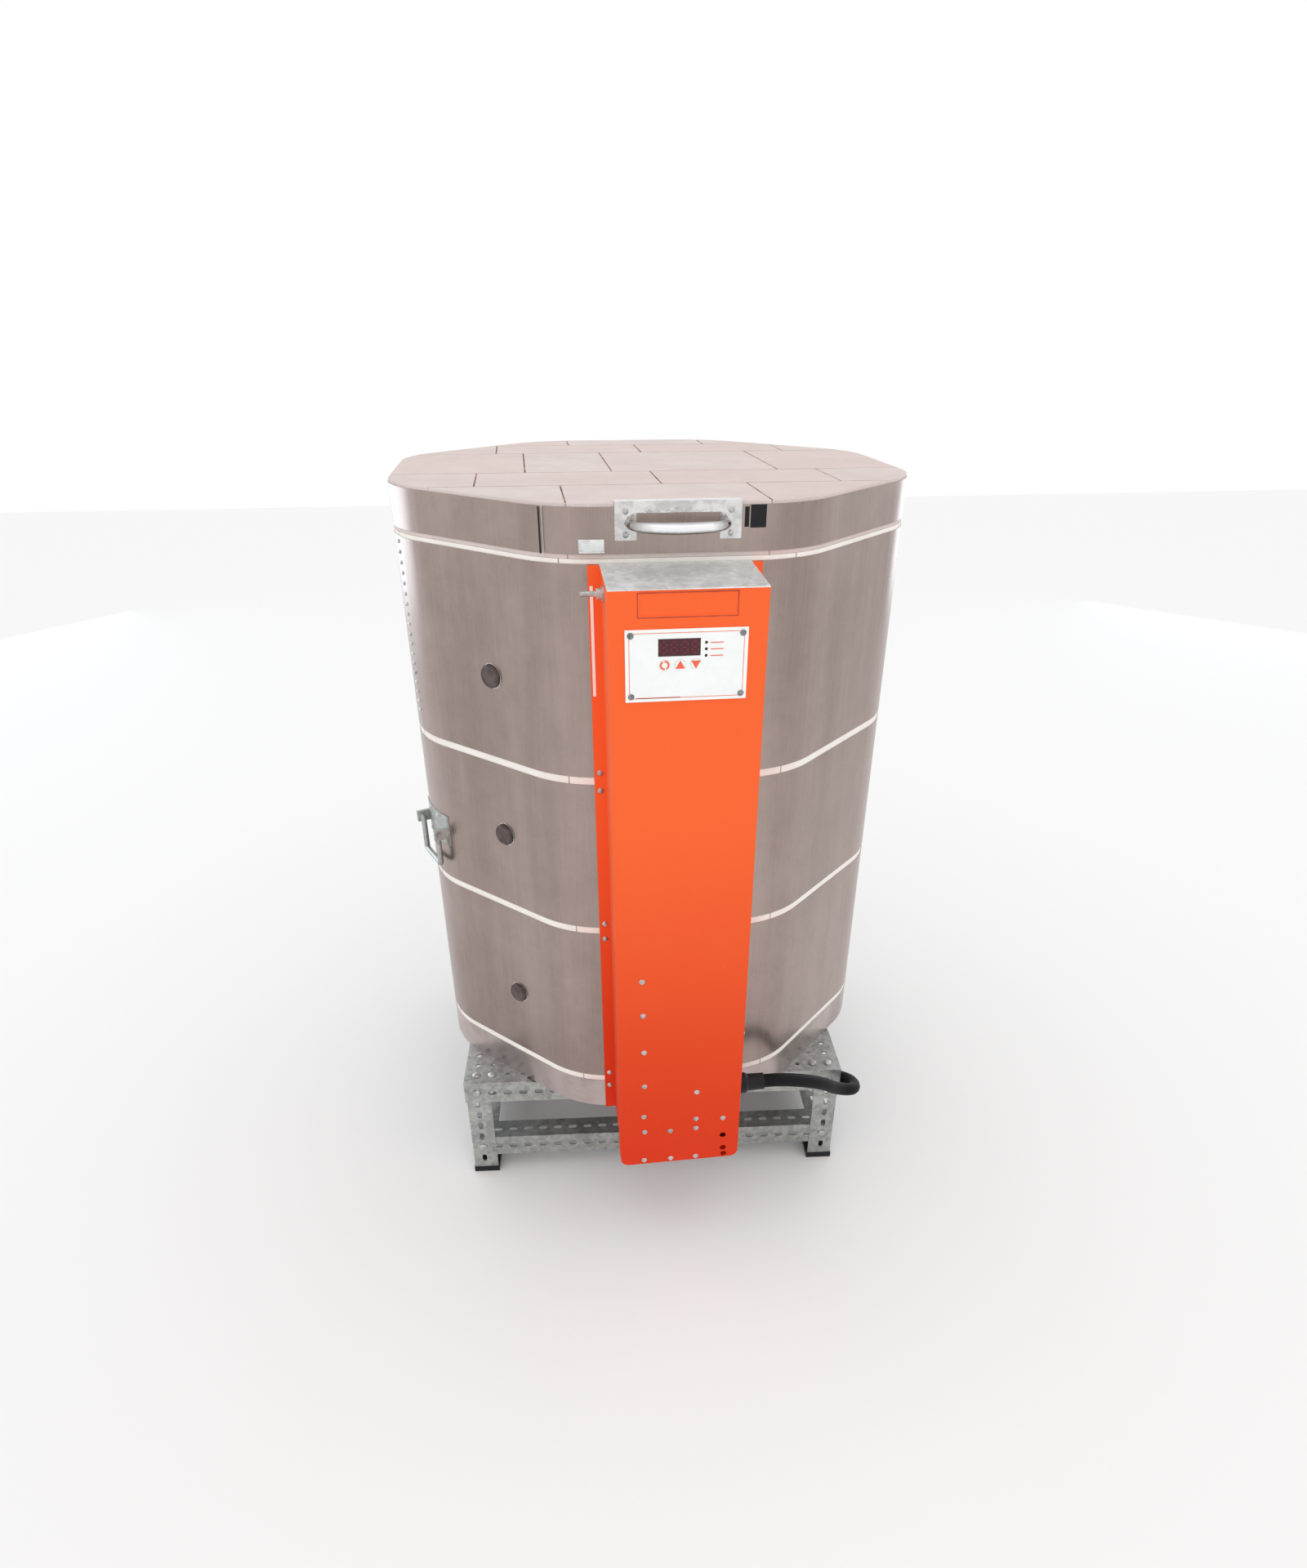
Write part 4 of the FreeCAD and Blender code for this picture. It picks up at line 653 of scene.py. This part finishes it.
# %% [markdown]
# ## One lid
#
# The bricks are cemented together and move as one, so they are joined into one piece that stands for
# the lid's solid and rides on the lid.

# %% Join the bricks
lid_brickwork = pick(*bricks)
bpy.ops.object.join()
lid_brickwork.name = "lid_brickwork"
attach(lid_brickwork, "lid")
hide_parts("lid_bricks")
print("brickwork faces", len(lid_brickwork.data.polygons))


# %% [markdown]
# ## Heating elements
#
# Each element is resistance wire wound into a long close coil and laid in a groove round the
# chamber. A spring could be modelled turn by turn; here one function walks round the octagon and
# turns a small arm as it goes, which gives the whole coil as one curve. Its straight tails leave
# through the front wall.

# %% Coil path
WIRE_RADIUS, COIL_OUTSIDE, PITCH, PER_TURN, TAIL_X = 0.0008, 0.0055, 0.0052, 7, 0.022


def round_chamber(reach):
    """Corners of a coil's way round the chamber, from the middle of the front wall back to it."""
    corners = [Vector((math.cos(math.radians(45 * step - 67.5)), math.sin(math.radians(45 * step - 67.5)), 0))
               * (reach / math.cos(math.radians(22.5))) for step in range(8)]
    return [Vector((TAIL_X, -reach, 0))] + corners + [Vector((-TAIL_X, -reach, 0))]


def wind(path):
    """Points on a spring that is wound round a path of straight runs."""
    points, walked, arm = [], 0.0, COIL_OUTSIDE - WIRE_RADIUS
    for here, there in zip(path, path[1:]):
        run = there - here
        outward = run.normalized().cross(Vector((0, 0, 1)))
        count = max(1, round(run.length / PITCH * PER_TURN))
        for step in range(count):
            turn = 2 * math.pi * (walked + run.length * step / count) / PITCH
            points.append(here + run * (step / count) + outward * math.cos(turn) * arm
                          + Vector((0, 0, math.sin(turn) * arm)))
        walked += run.length
    return points


print("points in one coil", len(wind(round_chamber(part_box("top_elements")[1][0] - COIL_OUTSIDE))))


# %% [markdown]
# ## The coils of each ring
#
# One curve holds all the coils of a ring, each a spline of short straight steps, because a spring's
# turns are small enough for that. A bevel gives the wire its thickness.

# %% Elements
def add_coils(ring, heights):
    (_, front, _), (side, _, _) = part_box(f"{ring}_elements")
    tails = [[Vector((x, front - AXIS, 0))] for x in (TAIL_X, -TAIL_X)]
    points = tails[0] + wind(round_chamber(side - COIL_OUTSIDE)) + tails[1]
    data = bpy.data.curves.new(f"{ring}_coils", "CURVE")
    data.dimensions, data.bevel_depth, data.bevel_resolution = "3D", WIRE_RADIUS, 0
    data.use_fill_caps = True
    for height in heights:
        spline = data.splines.new("POLY")
        spline.points.add(len(points) - 1)
        for point, spot in zip(spline.points, points):
            point.co = (spot.x, spot.y + AXIS, spot.z + height, 1)
    data.materials.append(WIRE.material)
    return to_mesh(link(f"{ring}_coils", data))


for ring, count in (("bottom", 3), ("middle", 4), ("top", 3)):
    lowest, highest = (corner[2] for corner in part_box(f"{ring}_elements"))
    lowest, highest = lowest + COIL_OUTSIDE, highest - COIL_OUTSIDE
    coils = add_coils(ring, [lowest + (highest - lowest) * index / (count - 1) for index in range(count)])
    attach(coils, "kiln")
    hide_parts(f"{ring}_elements")
    print(coils.name, "faces", len(coils.data.polygons))


# %% [markdown]
# ## Print
#
# The controller's face is printed: a thin border, the signs on its three keys and the digits behind
# the display window. Print has almost no thickness, so each sign starts as a flat shape a tenth of a
# millimetre in front of its surface and is extruded by less than that. A plane with its middle inset
# and taken out makes a border.

# %% Print helpers
PRINT_STAND, PRINT_THICK = 0.0001, 0.00008
FACING_FRONT = (math.radians(90), 0, 0)


def flat_bar(x0, z0, x1, z1, front):
    deselect()
    bpy.ops.mesh.primitive_plane_add(size=1, rotation=FACING_FRONT,
                                     location=((x0 + x1) / 2, front - PRINT_STAND, (z0 + z1) / 2))
    made = bpy.context.object
    made.scale = (x1 - x0, z1 - z0, 1)
    bpy.ops.object.transform_apply(location=True, rotation=True, scale=True)
    return made


def flat_border(x0, z0, x1, z1, front, line):
    made = flat_bar(x0, z0, x1, z1, front)

    def hollow():
        bpy.ops.mesh.inset(thickness=line)
        bpy.ops.mesh.delete(type="FACE")

    in_edit_mode("FACE", everything, hollow)
    return made


def raise_print(name, parts, paint, body):
    """Joins flat parts, gives them their thickness and finish, and says what they ride on."""
    made = pick(*parts)
    if len(parts) > 1:
        bpy.ops.object.join()
    made.name = made.data.name = name

    def thicken():
        bpy.ops.mesh.extrude_region_move(TRANSFORM_OT_translate={"value": (0, -PRINT_THICK, 0)})
        bpy.ops.mesh.select_all(action="SELECT")
        bpy.ops.mesh.normals_make_consistent(inside=False)

    in_edit_mode("FACE", everything, thicken)
    made.data.materials.append(paint.material)
    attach(made, body)
    print(made.name, "faces", len(made.data.polygons))
    return made


# %% [markdown]
# ## The controller's border
#
# A border near the plate's edge, one thicker line in it at the bottom left, and a short dash beside
# each light.

# %% Controller print
(x0, face_y, z0), (x1, _, z1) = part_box("controller_plate")
lights_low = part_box("indicator_lights")[0][2] + 0.0007
LIGHT_STEP = 0.007
parts = [flat_border(x0 + 0.0040, z0 + 0.0035, x1 - 0.0040, z1 - 0.0035, face_y, 0.0006),
         flat_bar(x0 + 0.0115, z0 + 0.0036, x0 + 0.060, z0 + 0.0046, face_y)]
for index in range(3):
    low = lights_low + index * LIGHT_STEP
    parts.append(flat_bar(x1 - 0.0410, low, x1 - 0.0270, low + 0.0010, face_y))
raise_print("controller_print", parts, PRINT_RED, "kiln")


# %% [markdown]
# ## The keys' signs
#
# A ring with two gaps stands for the cycle, and a triangle for up and for down. Each starts as a
# filled circle, of many corners or of three, and rides on its own key, so it moves when that key is
# pressed.

# %% Key signs
SIGN_RADIUS, RING_WIDTH = 0.0052, 0.38


def in_gap(mesh, face):
    """A ring's faces at its two gaps, and the disc inside it."""
    middle = face.center - sign_middle
    angle = math.degrees(math.atan2(middle.z, middle.x)) % 180
    return middle.length < SIGN_RADIUS / 2 or 95 < angle < 115


def sign_on(key, corners, radius, drop, turn):
    (left, front, low), (right, _, high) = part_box(key)
    middle = Vector(((left + right) / 2, front - PRINT_STAND, (low + high) / 2))
    deselect()
    bpy.ops.mesh.primitive_circle_add(vertices=corners, radius=radius, fill_type="NGON",
                                      location=middle + Vector((0, 0, drop)),
                                      rotation=(math.radians(90), math.radians(turn), 0))
    bpy.ops.object.transform_apply(location=True, rotation=True, scale=True)
    return bpy.context.object, middle


sign, sign_middle = sign_on("key_cycle", 72, SIGN_RADIUS, 0, 0)
in_edit_mode("FACE", everything, lambda: bpy.ops.mesh.inset(thickness=SIGN_RADIUS * RING_WIDTH))
in_edit_mode("FACE", in_gap, lambda: bpy.ops.mesh.delete(type="FACE"))
raise_print("key_cycle_sign", [sign], PRINT_RED, "key_cycle_body")
TRIANGLE, DROP = 1.155 * SIGN_RADIUS, 0.217 * SIGN_RADIUS
for key, drop, turn in (("key_up", -DROP, 0), ("key_down", DROP, 180)):
    sign, _ = sign_on(key, 3, TRIANGLE, drop, turn)
    raise_print(f"{key}_sign", [sign], PRINT_RED, f"{key}_body")


# %% [markdown]
# ## The display's digits
#
# A figure of seven strokes, unlit, stands four times behind the window.

# %% Digits
def seven_strokes(x, z, half_wide, half_tall, line, front):
    level = [flat_bar(x - half_wide + line, z + rise - line / 2, x + half_wide - line, z + rise + line / 2, front)
             for rise in (-half_tall, 0, half_tall)]
    stroke = half_tall / 2 - line
    return level + [flat_bar(x + side - line / 2, z + rise - stroke, x + side + line / 2, z + rise + stroke, front)
                    for side in (-half_wide, half_wide) for rise in (-half_tall / 2, half_tall / 2)]


(left, front, low), (right, _, high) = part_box("display")
step = (right - left) / 4
strokes = []
for index in range(4):
    strokes += seven_strokes(left + step * (index + 0.5), (low + high) / 2, step * 0.30,
                             (high - low) * 0.33, 0.0016, front)
raise_print("display_digits", strokes, DIGIT_RED, "kiln")


# %% [markdown]
# ## The cover's outline
#
# A faint blank rectangle is printed across the top of the orange cover.

# %% Cover outline
(left, cover_y, _), (right, _, cover_top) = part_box("box_cover")
middle = (left + right) / 2
rectangle = flat_border(middle - 0.055, cover_top - 0.0285, middle + 0.053, cover_top - 0.0020, cover_y, 0.0011)
raise_print("cover_outline", [rectangle], PRINT_DARK, "kiln")


# %% [markdown]
# ## The gap in the lid's band
#
# The steel band's two ends don't meet, and the brick behind the gap lies in shade. That shade is
# painted as a thin black strip: a cube drawn out to the gap's size, with its edges bevelled.

# %% Painted shadow in the gap
BAND_TURN, GAP_ALONG = -135, 0.119
(_, _, low), (half, _, high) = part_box("lid_band")
outward = Matrix.Rotation(math.radians(BAND_TURN), 3, "Z").col[0]
along = Matrix.Rotation(math.radians(BAND_TURN), 3, "Z").col[1]
deselect()
bpy.ops.mesh.primitive_cube_add(
    size=1, rotation=(0, 0, math.radians(BAND_TURN)),
    location=outward * (half - 0.0004) + along * GAP_ALONG + Vector((0, AXIS, (low + high) / 2)))
gap_shadow_strip = bpy.context.object
gap_shadow_strip.name, gap_shadow_strip.scale = "band_gap_painted_shadow", (0.0004, 0.0028, high - low - 0.0004)
bpy.ops.object.transform_apply(location=True, rotation=True, scale=True)
edge = gap_shadow_strip.modifiers.new("edge", "BEVEL")
edge.width, edge.segments = 0.0001, 1
bpy.ops.object.modifier_apply(modifier="edge")
# the strip's black is painted shadow
gap_shadow_strip.data.materials.append(SHADOW.material)
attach(gap_shadow_strip, "lid")
print("soot faces", len(gap_shadow_strip.data.polygons))


# %% [markdown]
# ## The lid's handle
#
# The grip is a bright rod, thin at its feet and thick in the middle where a hand takes it. A curve
# whose radius changes from point to point gives that swelling directly.

# %% Handle bar
GRIP_STEPS, FOOT_SWELL, MIDDLE_SWELL = 18, 0.66, 0.46


def add_grip():
    (left, front, low), (right, back, high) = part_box("lid_handle_bar")
    rod = (high - low) / 2
    reach, stand = (right - left) / 2 - rod, back - front - rod
    data = bpy.data.curves.new("grip", "CURVE")
    data.dimensions, data.bevel_depth, data.bevel_resolution = "3D", rod, 8
    data.resolution_u, data.use_fill_caps = 16, True
    spline = data.splines.new("NURBS")
    spline.points.add(GRIP_STEPS)
    for step, point in enumerate(spline.points):
        angle = math.pi * step / GRIP_STEPS
        point.co = ((left + right) / 2 - reach * math.cos(angle), back - stand * math.sin(angle) ** 0.8,
                    (low + high) / 2, 1)
        point.radius = FOOT_SWELL + MIDDLE_SWELL * math.sin(angle)
    spline.order_u = 3
    spline.use_endpoint_u = True
    data.materials.append(MIRROR.material)
    return to_mesh(link("lid_grip", data))


grip = add_grip()
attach(grip, "lid")
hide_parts("lid_handle_bar")
print("grip faces", len(grip.data.polygons))


# %% [markdown]
# ## Floor
#
# A plain pale floor, far wider than the kiln.

# %% Floor
deselect()
bpy.ops.mesh.primitive_plane_add(size=14, location=(0, 0, 0))
floor = bpy.context.object
floor.name = "floor"
floor.data.materials.append(Paint("pale_floor", (0.93, 0.93, 0.93), 0.95).material)
print("floor", tuple(round(v, 1) for v in floor.dimensions))


# %% [markdown]
# ## Light
#
# An even white sky lights everything softly, and one weak lamp overhead gives a hint of shadow. Two
# bluish lamps behind the kiln act as windows: they only show as sheen on the steel at its sides.

# %% Light
def add_lamp(name, place, aim, wide, tall, power, color=(1, 1, 1), gloss_only=False):
    data = bpy.data.lights.new(name, "AREA")
    data.shape, data.size, data.size_y, data.energy, data.color = "RECTANGLE", wide, tall, power, color
    lamp = link(name, data)
    lamp.location = place
    lamp.rotation_euler = (Vector(aim) - Vector(place)).to_track_quat("-Z", "Y").to_euler()
    lamp.visible_camera, lamp.visible_diffuse = False, not gloss_only
    return lamp


world = bpy.data.worlds.new("soft_sky")
world.use_nodes = True
sky = world.node_tree.nodes["Background"]
sky.inputs["Color"].default_value, sky.inputs["Strength"].default_value = (1.0, 1.0, 1.0, 1), 1.0
bpy.context.scene.world = world
bpy.context.scene.view_settings.view_transform = "Standard"
add_lamp("ceiling", (0.2, -0.6, 3.2), (0, 0, 0.6), 3.0, 3.0, 6)
add_lamp("left_window", (-3.1, 2.5, 1.0), (-0.3, 0, 0.5), 3.2, 3.0, 78, (0.70, 0.85, 1.0), gloss_only=True)
add_lamp("right_window", (3.2, 2.8, 0.8), (0.3, 0, 0.5), 1.6, 2.4, 24, (0.76, 0.87, 1.0), gloss_only=True)
print("lamps", len(bpy.data.lights))

# %% [markdown]
# ## Finish
#
# The view layer is brought up to date.

# %% Finish
bpy.context.view_layer.update()
